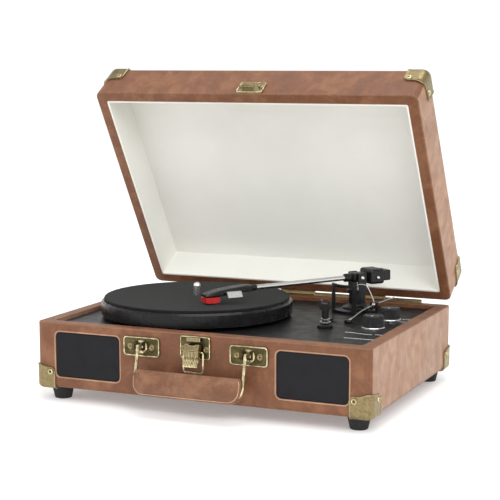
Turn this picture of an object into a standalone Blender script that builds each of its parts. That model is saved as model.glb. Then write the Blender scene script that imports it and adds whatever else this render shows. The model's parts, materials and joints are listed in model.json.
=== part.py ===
"""Suitcase record player: a leatherette case with a forward-leaning open lid, a belt driven
platter, a straight tonearm, two front speakers, a swinging carry handle and a draw latch.

Lengths are millimetres until a solid becomes an object, where they turn into metres. Shapes
are drawn about the middle of the case, with +Z up and the front facing -Y, and are then moved
so that the origin lies on the floor under the middle of the whole player as it stands open.
"""
import math

import bmesh
import bpy
from mathutils import Vector

for old_object in list(bpy.data.objects):
    bpy.data.objects.remove(old_object, do_unlink=True)

MM = 0.001
GAP = 0.3
ORIGIN_SHIFT = (0.0, -5.7, 4.3)

# Case
CASE_W = 350.0
CASE_D = 257.0
CORNER_R = 7.0
EDGE_R = 3.5
RIM_SOFT = 0.8
FLOOR_Z = 9.5
BASE_TOP = 75.0
BASE_FLOOR_T = 6.0
RIM_WIDTH = 12.6
LEDGE = 3.0
LID_RIM_Z = 75.6
LID_DEPTH = 45.4
LID_WALL = 10.8
LID_PANEL_T = 4.0
LINING_T = 1.5
FRONT_Y = -CASE_D / 2
BACK_Y = CASE_D / 2
FOOT_PLACE = (157.0, 109.5)
FOOT_BOTTOM = -4.3

# Corner protectors
BRASS_X_LEG = 21.0
BRASS_Y_LEG = 24.5
BRASS_HEIGHT = 22.8
BRASS_TAB_HEIGHT = 20.5
BRASS_FLANGE = 6.2
BRASS_END_R = 5.0
BRASS_RIVET = 16.0

# Lid hinge
HINGE_Y = BACK_Y + 4.0
HINGE_Z = 75.3
HINGE_HALF = 142.0
KNUCKLES = 7
BARREL_R = 2.5
HINGE_PIN_R = 1.2
LEAF_T = 1.2
LEAF_H = 14.0
LID_OPEN_DEG = 58.14

# Deck and drive
DECK_T = 3.0
DECK_TOP = BASE_TOP - 4.0
SPINDLE = (-53.5, -14.0)
SPINDLE_R = 3.6
SPINDLE_TOP = 105.5
PLATTER_R = 98.0
PLATTER_Z = (75.0, 89.0)
MAT_T = 2.4
DRIVE_RING_R = 58.0
PULLEY_R = 5.0
PULLEY_DIST = 75.0
PULLEY_DEG = 135.0
BELT_T = 0.8

# Tonearm
ARM_PIVOT = (88.0, 78.0)
ARM_DEG = -127.6
ARM_Z = 106.6
ARM_DROP = 2.0
TUBE_R = 2.6
TUBE_END = 127.0
HEADSHELL_END = 180.0
COLLAR_R = 4.3
ARM_REST = (92.0, -27.0)
ARM_REST_TOP = 98.4
CUE_PIVOT = (112.0, 63.0, 81.0)
LIFT_BAR_R = (24.0, 27.0)
LIFT_BAR_DEG = (-150.0, -72.0)
LIFT_BAR_Z = (98.0, 101.0)

# Controls
KNOB_R = 10.5
KNOB_TOP = 85.0
VOLUME_KNOB = (137.5, -15.0)
MODE_KNOB = (138.5, 34.0)
SWITCHES = {"speed_switch": (84.0, 6.0), "auto_stop_switch": (104.0, 6.0)}
SWITCH_TRAVEL = 6.0

# Front hardware
GRILLE_X = (82.0, 153.5)
GRILLE_Z = (21.0, 66.0)
GRILLE_R = 5.0
GRILLE_RECESS = 3.4
DRIVER_R = 22.0
PLATE_T = 1.2
PIVOT_Y = FRONT_Y - 5.5
HANDLE_X = 56.1
HANDLE_MIDDLE = -1.1
HANDLE_Y = FRONT_Y - 8.0
HANDLE_Z = 60.0
HANDLE_TILT_DEG = 14.0
ROD_R = 1.7
HANDLE_DROP = 42.5
HANDLE_BEND = 13.0
LEVER_PIN_Z = 63.0
LEVER_HALF = 7.6
BAIL_PIN_Z = 58.8
BAIL_X = 10.2
BAIL_R = 1.0
BAIL_LENGTH = 19.6
JACK_X = (-130.0, -66.0)
JACK_Z = (28.0, 56.0)


def make_material(name, colour, roughness, metallic=0.0):
    """One Principled material."""
    material = bpy.data.materials.new(name)
    material.use_nodes = True
    shader = material.node_tree.nodes["Principled BSDF"]
    shader.inputs["Base Color"].default_value = (*colour, 1.0)
    shader.inputs["Roughness"].default_value = roughness
    shader.inputs["Metallic"].default_value = metallic
    material.diffuse_color = (*colour, 1.0)
    return material


LEATHER = make_material("brown_leatherette", (0.36, 0.16, 0.10), 0.55)
GRIP_LEATHER = make_material("grip_leather", (0.30, 0.12, 0.07), 0.5)
LINING = make_material("cream_lining", (0.85, 0.84, 0.78), 0.7)
BRASS = make_material("antique_brass", (0.38, 0.32, 0.19), 0.38, 1.0)
STEEL = make_material("bright_steel", (0.75, 0.75, 0.74), 0.22, 1.0)
ALUMINIUM = make_material("aluminium", (0.72, 0.72, 0.72), 0.32, 1.0)
DECK_BLACK = make_material("black_deck", (0.02, 0.02, 0.02), 0.35)
PLASTIC_BLACK = make_material("black_plastic", (0.025, 0.025, 0.025), 0.4)
GRILLE_BLACK = make_material("grille_mesh", (0.05, 0.05, 0.05), 0.55, 0.4)
RUBBER = make_material("rubber", (0.03, 0.03, 0.03), 0.8)
FELT = make_material("felt", (0.03, 0.03, 0.03), 0.95)
RED_PLASTIC = make_material("red_plastic", (0.55, 0.03, 0.03), 0.35)
BOARD_GREEN = make_material("circuit_board", (0.05, 0.22, 0.09), 0.5)


# ---------------------------------------------------------------- shape helpers

def rounded_rect(centre, half, radius, steps=4):
    """Points of a rectangle with round corners, anticlockwise from the right side."""
    points = []
    for turn, (sx, sy) in enumerate(((1, 1), (-1, 1), (-1, -1), (1, -1))):
        cx = centre[0] + sx * (half[0] - radius)
        cy = centre[1] + sy * (half[1] - radius)
        for step in range(steps + 1):
            angle = math.pi / 2 * (turn + step / steps)
            points.append((cx + radius * math.cos(angle), cy + radius * math.sin(angle)))
    return points


def circle(centre, radius, steps=16):
    """Points of a regular polygon that stands for a circle."""
    turn = 2 * math.pi / steps
    return [(centre[0] + radius * math.cos(turn * step), centre[1] + radius * math.sin(turn * step))
            for step in range(steps)]


def axis_point(axis, u, v, w):
    """A point from its two places across an axis and its place along it."""
    if axis == "X":
        return (w, u, v)
    if axis == "Y":
        return (u, w, v)
    return (u, v, w)


def loft(rings, closed=False):
    """A solid skinned over rings of equally many points, capped or joined end to end."""
    shape = bmesh.new()
    rows = [[shape.verts.new(point) for point in ring] for ring in rings]
    count = len(rows[0])
    pairs = list(zip(rows, rows[1:]))
    if closed:
        pairs.append((rows[-1], rows[0]))
    else:
        shape.faces.new(rows[0][::-1])
        shape.faces.new(rows[-1])
    for low, high in pairs:
        for index in range(count):
            after = (index + 1) % count
            shape.faces.new((low[index], low[after], high[after], high[index]))
    bmesh.ops.recalc_face_normals(shape, faces=shape.faces)
    return shape


def prism(outline, low, high, axis="Z"):
    """An outline extruded along an axis."""
    return loft([[axis_point(axis, u, v, w) for u, v in outline] for w in (low, high)])


def box(low, high, soft=0.0):
    """A block between two corners, with its edges softened if asked."""
    outline = [(low[0], low[1]), (high[0], low[1]), (high[0], high[1]), (low[0], high[1])]
    shape = prism(outline, low[2], high[2])
    if soft:
        bmesh.ops.bevel(shape, geom=shape.edges[:], offset=soft, segments=2, profile=0.5,
                        affect="EDGES", clamp_overlap=True)
    return shape


def lathe(profile, centre=(0.0, 0.0), axis="Z", steps=32):
    """A turned solid from (radius, height) points, closed through the axis or as a ring."""
    shape = bmesh.new()
    poles = {}
    columns = []
    for step in range(steps):
        angle = 2 * math.pi * step / steps
        column = []
        for index, (radius, height) in enumerate(profile):
            if radius == 0.0 and index in poles:
                column.append(poles[index])
                continue
            u = centre[0] + radius * math.cos(angle)
            v = centre[1] + radius * math.sin(angle)
            vertex = shape.verts.new(axis_point(axis, u, v, height))
            if radius == 0.0:
                poles[index] = vertex
            column.append(vertex)
        columns.append(column)
    for step, column in enumerate(columns):
        following = columns[(step + 1) % steps]
        for index in range(len(profile)):
            after = (index + 1) % len(profile)
            corners = [column[index], column[after], following[after], following[index]]
            distinct = list(dict.fromkeys(corners))
            if len(distinct) > 2:
                shape.faces.new(distinct)
    bmesh.ops.recalc_face_normals(shape, faces=shape.faces)
    return shape


def sweep(path, radius, steps=8):
    """A round bar along a path of points."""
    points = [Vector(point) for point in path]
    rings = []
    side = None
    for index, point in enumerate(points):
        before = points[max(index - 1, 0)]
        after = points[min(index + 1, len(points) - 1)]
        tangent = (after - before).normalized()
        if side is None:
            side = tangent.orthogonal().normalized()
        side = (side - side.dot(tangent) * tangent).normalized()
        across = tangent.cross(side)
        ring = []
        for step in range(steps):
            angle = 2 * math.pi * (step + 0.5) / steps
            ring.append(point + radius * (math.cos(angle) * side + math.sin(angle) * across))
        rings.append(ring)
    return loft(rings)


def arc(centre, radius, start_deg, end_deg, steps):
    """Points of an arc in a plane, both ends included."""
    points = []
    for step in range(steps + 1):
        angle = math.radians(start_deg + (end_deg - start_deg) * step / steps)
        points.append((centre[0] + radius * math.cos(angle), centre[1] + radius * math.sin(angle)))
    return points


def together(*shapes):
    """Several shapes in one mesh, for use as one cutter or one addition."""
    merged = bmesh.new()
    for shape in shapes:
        mesh = bpy.data.meshes.new("together")
        shape.to_mesh(mesh)
        merged.from_mesh(mesh)
        bpy.data.meshes.remove(mesh)
    return merged


def add_empty(name, pivot, turn=(0.0, 0.0, 0.0)):
    """A marker on a moving body's axis, which carries the body's pieces."""
    marker = bpy.data.objects.new(name, None)
    bpy.context.collection.objects.link(marker)
    marker.location = (Vector(pivot) + Vector(ORIGIN_SHIFT)) * MM
    marker.rotation_euler = turn
    marker["pivot_mm"] = tuple(pivot)
    return marker


def add_object(name, shape, material, pivot, parent):
    """An object whose origin is its pivot, from a shape drawn in its body's own frame."""
    for vertex in shape.verts:
        vertex.co = (vertex.co - Vector(pivot)) * MM
    mesh = bpy.data.meshes.new(name)
    shape.to_mesh(mesh)
    shape.free()
    mesh.shade_smooth()
    mesh.set_sharp_from_angle(angle=math.radians(35))
    piece = bpy.data.objects.new(name, mesh)
    bpy.context.collection.objects.link(piece)
    carried_from = Vector(parent["pivot_mm"]) if parent else -Vector(ORIGIN_SHIFT)
    piece.parent = parent
    piece.location = (Vector(pivot) - carried_from) * MM
    if material:
        mesh.materials.append(material)
    return piece


def solid(name, shape, material, pivot=(0.0, 0.0, 0.0), parent=None, add=(), cut=()):
    """One piece of the player, with shapes joined to it and then cut from it by Booleans."""
    piece = add_object(name, shape, material, pivot, parent)
    steps = [("UNION", tool_shape) for tool_shape in add]
    steps += [("DIFFERENCE", tool_shape) for tool_shape in cut]
    for number, (operation, tool_shape) in enumerate(steps):
        tool = add_object(f"{name}_tool_{number}", tool_shape, None, pivot, parent)
        tool.hide_render = True
        tool.display_type = "WIRE"
        modifier = piece.modifiers.new(tool.name, "BOOLEAN")
        modifier.operation = operation
        modifier.solver = "EXACT"
        modifier.object = tool
    return piece


def case_ring(inset, z, radius=None):
    """The case outline, moved inwards, at one height."""
    if radius is None:
        radius = max(CORNER_R - inset, 2.0)
    outline = rounded_rect((0.0, 0.0), (CASE_W / 2 - inset, CASE_D / 2 - inset), radius)
    return [(x, y, z) for x, y in outline]


def edge_rings(z_panel, inwards):
    """Rings over the soft edge where a wall meets the bottom or the top panel."""
    rings = []
    for angle_deg in (0.0, 45.0, 90.0):
        angle = math.radians(angle_deg)
        inset = EDGE_R * (1 - math.sin(angle))
        rings.append(case_ring(inset, z_panel + inwards * EDGE_R * (1 - math.cos(angle))))
    return rings


def dome(centre, axis, base, height, radius=2.9, foot=0.5):
    """A low round rivet or screw head that starts a little under the plate it sits on."""
    direction = 1.0 if height > 0 else -1.0
    start = base - direction * foot
    profile = [(0.0, start), (radius, start), (radius, base + 0.35 * height),
               (radius * 0.72, base + 0.8 * height), (0.0, base + height)]
    return lathe(profile, centre, axis, steps=8)


# ---------------------------------------------------------------- case

def build_base_shell():
    """The lower case: a box of walls with a ledge for the deck and openings in its walls."""
    rings = edge_rings(FLOOR_Z, 1.0)
    rings.append(case_ring(0.0, BASE_TOP - RIM_SOFT))
    rings.append(case_ring(RIM_SOFT, BASE_TOP))
    ledge_z = DECK_TOP - DECK_T - GAP
    rings.append(case_ring(RIM_WIDTH, BASE_TOP))
    rings.append(case_ring(RIM_WIDTH, ledge_z))
    rings.append(case_ring(RIM_WIDTH + LEDGE, ledge_z))
    rings.append(case_ring(RIM_WIDTH + LEDGE, FLOOR_Z + BASE_FLOOR_T))
    cutters = []
    half_x = (GRILLE_X[1] - GRILLE_X[0]) / 2
    half_z = (GRILLE_Z[1] - GRILLE_Z[0]) / 2
    for side in (-1, 1):
        centre = (side * (GRILLE_X[0] + half_x), GRILLE_Z[0] + half_z)
        recess = rounded_rect(centre, (half_x, half_z), GRILLE_R)
        cutters.append(prism(recess, FRONT_Y - 2.0, FRONT_Y + GRILLE_RECESS, "Y"))
        hole = circle(centre, DRIVER_R - 3.0, 24)
        cutters.append(prism(hole, FRONT_Y + GRILLE_RECESS - 0.5, FRONT_Y + 20.0, "Y"))
    jack_half = ((JACK_X[1] - JACK_X[0]) / 2, (JACK_Z[1] - JACK_Z[0]) / 2)
    jack_centre = (JACK_X[0] + jack_half[0], JACK_Z[0] + jack_half[1])
    recess = rounded_rect(jack_centre, jack_half, 3.0, 2)
    cutters.append(prism(recess, BACK_Y - 3.0, BACK_Y + 2.0, "Y"))
    window = rounded_rect(jack_centre, (jack_half[0] - 4.0, jack_half[1] - 4.0), 2.0, 2)
    cutters.append(prism(window, BACK_Y - 20.0, BACK_Y - 2.5, "Y"))
    solid("base_shell", loft(rings), LEATHER, cut=cutters)


def build_speakers():
    """A grille panel in each front recess and a cone driver behind each opening."""
    half_x = (GRILLE_X[1] - GRILLE_X[0]) / 2
    half_z = (GRILLE_Z[1] - GRILLE_Z[0]) / 2
    seat = FRONT_Y + RIM_WIDTH + LEDGE + GAP
    for side, word in ((-1, "left"), (1, "right")):
        centre = (side * (GRILLE_X[0] + half_x), GRILLE_Z[0] + half_z)
        rings = []
        for inset, y in ((GAP, FRONT_Y + GRILLE_RECESS - GAP), (GAP, FRONT_Y + 0.9), (1.1, FRONT_Y + 0.3)):
            outline = rounded_rect(centre, (half_x - inset, half_z - inset), GRILLE_R - inset)
            rings.append([(x, y, z) for x, z in outline])
        solid(f"speaker_grille_{word}", loft(rings), GRILLE_BLACK)
        driver = [(0.0, seat + 8.0), (6.0, seat + 8.0), (16.0, seat), (DRIVER_R, seat),
                  (DRIVER_R, seat + 2.0), (18.0, seat + 3.0), (13.0, seat + 12.0),
                  (13.0, seat + 20.0), (0.0, seat + 20.0)]
        solid(f"speaker_driver_{word}", lathe(driver, centre, "Y", 20), PLASTIC_BLACK)


def build_feet():
    """Four tapered rubber feet."""
    top = FLOOR_Z - GAP
    profile = [(0.0, FOOT_BOTTOM), (7.9, FOOT_BOTTOM), (8.6, FOOT_BOTTOM + 0.7), (11.2, top - 1.0),
               (10.8, top), (0.0, top)]
    for x_side, x_word in ((-1, "left"), (1, "right")):
        for y_side, y_word in ((-1, "front"), (1, "rear")):
            foot = lathe(profile, (x_side * FOOT_PLACE[0], y_side * FOOT_PLACE[1]), steps=20)
            solid(f"rubber_foot_{y_word}_{x_word}", foot, RUBBER)


def corner_top(along, leg):
    """Height of a corner protector's free edge at a place along one of its legs."""
    straight = leg - BRASS_END_R
    if along >= straight:
        rounding = math.sqrt(max(BRASS_END_R ** 2 - (along - straight) ** 2, 0.0))
        return BRASS_TAB_HEIGHT - BRASS_END_R + rounding
    fall = (1.0 - math.cos(math.pi * along / straight)) / 2
    return BRASS_HEIGHT + fall * (BRASS_TAB_HEIGHT - BRASS_HEIGHT)


def build_corner(name, x_side, y_side, z_panel, inwards, parent=None, pivot=(0.0, 0.0, 0.0)):
    """A pressed brass corner that wraps a wall corner and turns over the panel's edge."""
    x_leg = BRASS_X_LEG
    y_leg = BRASS_Y_LEG
    stations = []
    for along in (x_leg, x_leg - 0.9, x_leg - 2.6, x_leg - BRASS_END_R, 13.5, 10.5):
        stations.append((CASE_W / 2 - along, CASE_D / 2, (0.0, 1.0), corner_top(along, x_leg)))
    centre = (CASE_W / 2 - CORNER_R, CASE_D / 2 - CORNER_R)
    for step in range(5):
        angle = math.pi / 2 * (1 - step / 4)
        normal = (math.cos(angle), math.sin(angle))
        share = abs(step - 2) / 2
        height = corner_top(CORNER_R * share * 0.6, x_leg)
        stations.append((centre[0] + CORNER_R * normal[0], centre[1] + CORNER_R * normal[1], normal, height))
    for along in (10.5, 15.0, y_leg - BRASS_END_R, y_leg - 2.6, y_leg - 0.9, y_leg):
        stations.append((CASE_W / 2, CASE_D / 2 - along, (1.0, 0.0), corner_top(along, y_leg)))
    rings = []
    for x, y, normal, height in stations:
        profile = []
        for grow, order in ((GAP + PLATE_T, 1), (GAP, -1)):
            stretch = [(-BRASS_FLANGE, -grow)]
            for angle_deg in (0.0, 45.0, 90.0):
                angle = math.radians(angle_deg)
                reach = EDGE_R + grow
                stretch.append((-EDGE_R + reach * math.sin(angle), EDGE_R - reach * math.cos(angle)))
            stretch.append((grow, height))
            profile.extend(stretch[::order])
        ring = []
        for out, up in profile:
            ring.append((x_side * (x + out * normal[0]), y_side * (y + out * normal[1]),
                         z_panel + inwards * up))
        rings.append(ring)
    face = GAP + PLATE_T
    rivet_x = x_side * (CASE_W / 2 - BRASS_RIVET)
    rivet_y = y_side * (CASE_D / 2 - BRASS_RIVET)
    rivet_z = z_panel + inwards * BRASS_RIVET
    rivets = together(
        dome((rivet_x, rivet_z), "Y", y_side * (CASE_D / 2 + face), y_side * 1.3),
        dome((rivet_y, rivet_z), "X", x_side * (CASE_W / 2 + face), x_side * 1.3))
    solid(name, loft(rings), BRASS, pivot, parent, add=[rivets])


def build_base_corners():
    """The four lower corner protectors."""
    for x_side, x_word in ((-1, "left"), (1, "right")):
        for y_side, y_word in ((-1, "front"), (1, "rear")):
            build_corner(f"base_corner_{y_word}_{x_word}", x_side, y_side, FLOOR_Z, 1.0)


# ---------------------------------------------------------------- lid and hinge

HINGE = (0.0, HINGE_Y, HINGE_Z)
lid_axis = add_empty("lid_axis", HINGE, (-math.radians(LID_OPEN_DEG), 0.0, 0.0))


def build_lid():
    """The lid shell, its lining and its corners, drawn closed and carried by the hinge."""
    top = LID_RIM_Z + LID_DEPTH
    rings = edge_rings(top, -1.0)
    rings.append(case_ring(0.0, LID_RIM_Z + RIM_SOFT))
    rings.append(case_ring(RIM_SOFT, LID_RIM_Z))
    rings.append(case_ring(LID_WALL, LID_RIM_Z))
    rings.append(case_ring(LID_WALL, top - LID_PANEL_T))
    solid("lid_shell", loft(rings), LEATHER, HINGE, lid_axis)
    ceiling = top - LID_PANEL_T - GAP
    rings = [case_ring(LID_WALL + GAP, ceiling), case_ring(LID_WALL + GAP, LID_RIM_Z),
             case_ring(RIM_WIDTH, LID_RIM_Z), case_ring(RIM_WIDTH, ceiling - LINING_T)]
    solid("lid_lining", loft(rings), LINING, HINGE, lid_axis)
    for x_side, x_word in ((-1, "left"), (1, "right")):
        for y_side, y_word in ((-1, "front"), (1, "rear")):
            name = f"lid_corner_{y_word}_{x_word}"
            build_corner(name, x_side, y_side, top, -1.0, lid_axis, HINGE)


def build_hinge():
    """Two leaves with interleaved knuckles on one long pin."""
    span = 2 * HINGE_HALF / KNUCKLES
    leaf_y = BACK_Y + GAP
    leaves = (("hinge_leaf_lower", -1, 0, None), ("hinge_leaf_upper", 1, 1, lid_axis))
    for name, up, first, parent in leaves:
        inner = HINGE_Z + up * 3.1
        outer = HINGE_Z + up * (3.1 + LEAF_H)
        low = (-HINGE_HALF, leaf_y, min(inner, outer))
        high = (HINGE_HALF, leaf_y + LEAF_T, max(inner, outer))
        knuckles = []
        for index in range(first, KNUCKLES, 2):
            start = -HINGE_HALF + index * span + GAP / 2
            outline = [(leaf_y + 0.1, HINGE_Z + up * 4.0), (leaf_y + 0.1, HINGE_Z + up * 1.3)]
            outline += arc((HINGE_Y, HINGE_Z), BARREL_R, 200.0 * up, 480.0 * up, 10)
            outline.append((leaf_y + LEAF_T - 0.1, HINGE_Z + up * 4.0))
            knuckles.append(prism(outline, start, start + span - GAP, "X"))
        bore_outline = circle((HINGE_Y, HINGE_Z), HINGE_PIN_R + GAP, 10)
        bore = prism(bore_outline, -HINGE_HALF - 2.0, HINGE_HALF + 2.0, "X")
        pivot = HINGE if parent else (0.0, 0.0, 0.0)
        solid(name, box(low, high), BRASS, pivot, parent, add=[together(*knuckles)], cut=[bore])
    pin = prism(circle((HINGE_Y, HINGE_Z), HINGE_PIN_R, 10), -HINGE_HALF, HINGE_HALF, "X")
    solid("hinge_pin", pin, STEEL)


# ---------------------------------------------------------------- deck and drive

def pulley_centre():
    """Place of the motor shaft, a fixed distance from the spindle."""
    angle = math.radians(PULLEY_DEG)
    return (SPINDLE[0] + PULLEY_DIST * math.cos(angle), SPINDLE[1] + PULLEY_DIST * math.sin(angle))


def build_deck():
    """The flat deck with a thin ridge beside the controls and holes for what passes through."""
    half = (CASE_W / 2 - RIM_WIDTH - GAP, CASE_D / 2 - RIM_WIDTH - GAP)
    bottom = DECK_TOP - DECK_T
    plate = prism(rounded_rect((0.0, 0.0), half, 2.0, 2), bottom, DECK_TOP)
    ridge = box((115.5, -15.0, bottom + 1.0), (117.0, 113.0, DECK_TOP + 0.8), 0.3)
    holes = [prism(circle(SPINDLE, 8.3, 16), bottom - 1, DECK_TOP + 1),
             prism(circle(pulley_centre(), 4.0, 12), bottom - 1, DECK_TOP + 1)]
    for centre in (VOLUME_KNOB, MODE_KNOB):
        holes.append(prism(circle(centre, 3.5, 12), bottom - 1, DECK_TOP + 1))
    for centre in SWITCHES.values():
        middle = (centre[0] + SWITCH_TRAVEL / 2, centre[1])
        slot = rounded_rect(middle, (SWITCH_TRAVEL / 2 + 2.3, 1.6), 1.0, 2)
        holes.append(prism(slot, bottom - 1, DECK_TOP + 1))
    solid("deck_plate", plate, DECK_BLACK, add=[ridge], cut=[together(*holes)])


platter_axis = add_empty("platter_axis", (*SPINDLE, PLATTER_Z[0]))


def build_platter():
    """The platter with its rim, drive ring and hub, the mat, the spindle and its bearing."""
    low, high = PLATTER_Z
    under = high - 3.0
    profile = [(SPINDLE_R + GAP, high), (PLATTER_R - 2.0, high), (PLATTER_R, high - 2.0),
               (PLATTER_R, low), (PLATTER_R - 4.0, low), (PLATTER_R - 4.0, under),
               (DRIVE_RING_R, under), (DRIVE_RING_R, low + 1.0), (DRIVE_RING_R - 3.0, low + 1.0),
               (DRIVE_RING_R - 3.0, under), (9.0, under), (9.0, low), (SPINDLE_R + GAP, low)]
    pivot = (*SPINDLE, low)
    solid("platter", lathe(profile, SPINDLE, steps=48), ALUMINIUM, pivot, platter_axis)
    mat_low = high + GAP
    profile = [(SPINDLE_R + GAP, mat_low), (PLATTER_R - 3.0, mat_low),
               (PLATTER_R - 3.0, mat_low + MAT_T - 0.5), (PLATTER_R - 3.6, mat_low + MAT_T),
               (SPINDLE_R + GAP, mat_low + MAT_T)]
    solid("platter_mat", lathe(profile, SPINDLE, steps=48), FELT, pivot, platter_axis)
    profile = [(0.0, 52.0), (SPINDLE_R, 52.0), (SPINDLE_R, SPINDLE_TOP - 3.5),
               (SPINDLE_R * 0.8, SPINDLE_TOP - 1.2), (SPINDLE_R * 0.4, SPINDLE_TOP - 0.2),
               (0.0, SPINDLE_TOP)]
    solid("spindle", lathe(profile, SPINDLE, steps=16), STEEL, pivot, platter_axis)
    bore = SPINDLE_R + GAP
    profile = [(bore, 50.0), (8.0, 50.0), (8.0, DECK_TOP + GAP), (12.0, DECK_TOP + GAP),
               (12.0, DECK_TOP + 1.8), (bore, DECK_TOP + 1.8)]
    solid("platter_bearing", lathe(profile, SPINDLE, steps=20), STEEL)


def build_drive():
    """The motor under the deck, its pulley inside the platter and the flat belt round both."""
    centre = pulley_centre()
    bottom = DECK_TOP - DECK_T - GAP
    profile = [(0.0, 40.0), (15.0, 40.0), (16.0, 41.0), (16.0, bottom), (1.2, bottom), (1.2, 83.5),
               (0.0, 83.5)]
    solid("drive_motor", lathe(profile, centre, steps=24), STEEL)
    axis = add_empty("pulley_axis", (*centre, 77.0))
    bore = 1.2 + GAP
    profile = [(bore, 75.0), (PULLEY_R + 1.2, 75.0), (PULLEY_R + 1.2, 76.2), (PULLEY_R, 76.8),
               (PULLEY_R, 82.6), (PULLEY_R + 1.2, 83.2), (PULLEY_R + 1.2, 84.2), (bore, 84.2)]
    solid("motor_pulley", lathe(profile, centre, steps=20), PLASTIC_BLACK, (*centre, 77.0), axis)
    turn = math.degrees(math.acos((DRIVE_RING_R - PULLEY_R) / PULLEY_DIST))
    rings = []
    for extra, z in ((GAP, 77.6), (GAP + BELT_T, 77.6), (GAP + BELT_T, 81.6), (GAP, 81.6)):
        outline = arc(SPINDLE, DRIVE_RING_R + extra, PULLEY_DEG + turn, PULLEY_DEG - turn + 360.0, 36)
        outline += arc(centre, PULLEY_R + extra, PULLEY_DEG - turn, PULLEY_DEG + turn, 8)
        rings.append([(x, y, z) for x, y in outline])
    solid("drive_belt", loft(rings, closed=True), RUBBER)


def build_controls():
    """Two turning knobs with bright skirts, two sliding switches and the amplifier board."""
    for word, centre in (("volume", VOLUME_KNOB), ("mode", MODE_KNOB)):
        pivot = (*centre, DECK_TOP)
        skirt_top = DECK_TOP + 2.4
        axis = add_empty(f"{word}_knob_axis", pivot)
        profile = [(3.4, DECK_TOP + GAP), (KNOB_R + 1.0, DECK_TOP + GAP), (KNOB_R + 1.0, skirt_top - 0.6),
                   (KNOB_R + 0.4, skirt_top), (3.4, skirt_top)]
        solid(f"{word}_knob_skirt", lathe(profile, centre, steps=24), STEEL, pivot, axis)
        low = skirt_top + GAP
        profile = [(0.0, 62.0), (3.0, 62.0), (3.0, low), (KNOB_R, low), (KNOB_R - 0.4, KNOB_TOP - 1.2),
                   (KNOB_R - 1.4, KNOB_TOP - 0.2), (0.0, KNOB_TOP)]
        groove = box((centre[0] - 0.6, centre[1] - KNOB_R - 1.0, KNOB_TOP - 1.4),
                     (centre[0] + 0.6, centre[1] - 4.0, KNOB_TOP + 1.0))
        solid(f"{word}_knob", lathe(profile, centre, steps=24), PLASTIC_BLACK, pivot, axis, cut=[groove])
    for name, (x, y) in SWITCHES.items():
        stem = box((x - 2.0, y - 1.2, 63.0), (x + 2.0, y + 1.2, DECK_TOP + 0.6))
        cap = box((x - 3.2, y - 3.0, DECK_TOP + GAP), (x + 3.2, y + 3.0, DECK_TOP + 3.2), 0.5)
        solid(name, cap, PLASTIC_BLACK, (x, y, DECK_TOP), add=[stem])
    board = box((86.0, -40.0, 55.0), (156.0, 60.0, 56.6))
    solid("circuit_board", board, BOARD_GREEN)


# ---------------------------------------------------------------- tonearm

arm_axis = add_empty("arm_axis", (*ARM_PIVOT, ARM_Z), (0.0, 0.0, math.radians(ARM_DEG)))
ARM_ORIGIN = (*ARM_PIVOT, ARM_Z)


def arm_shape(shape):
    """A shape drawn along +X from the pivot, moved to the pivot's place."""
    bmesh.ops.translate(shape, vec=(ARM_PIVOT[0], ARM_PIVOT[1], 0.0), verts=shape.verts)
    return shape


def sector(inner, outer, start_deg, end_deg):
    """Outline of a curved strip round the arm's pivot."""
    outline = arc(ARM_PIVOT, outer, start_deg, end_deg, 10)
    return outline + arc(ARM_PIVOT, inner, end_deg, start_deg, 10)


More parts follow.
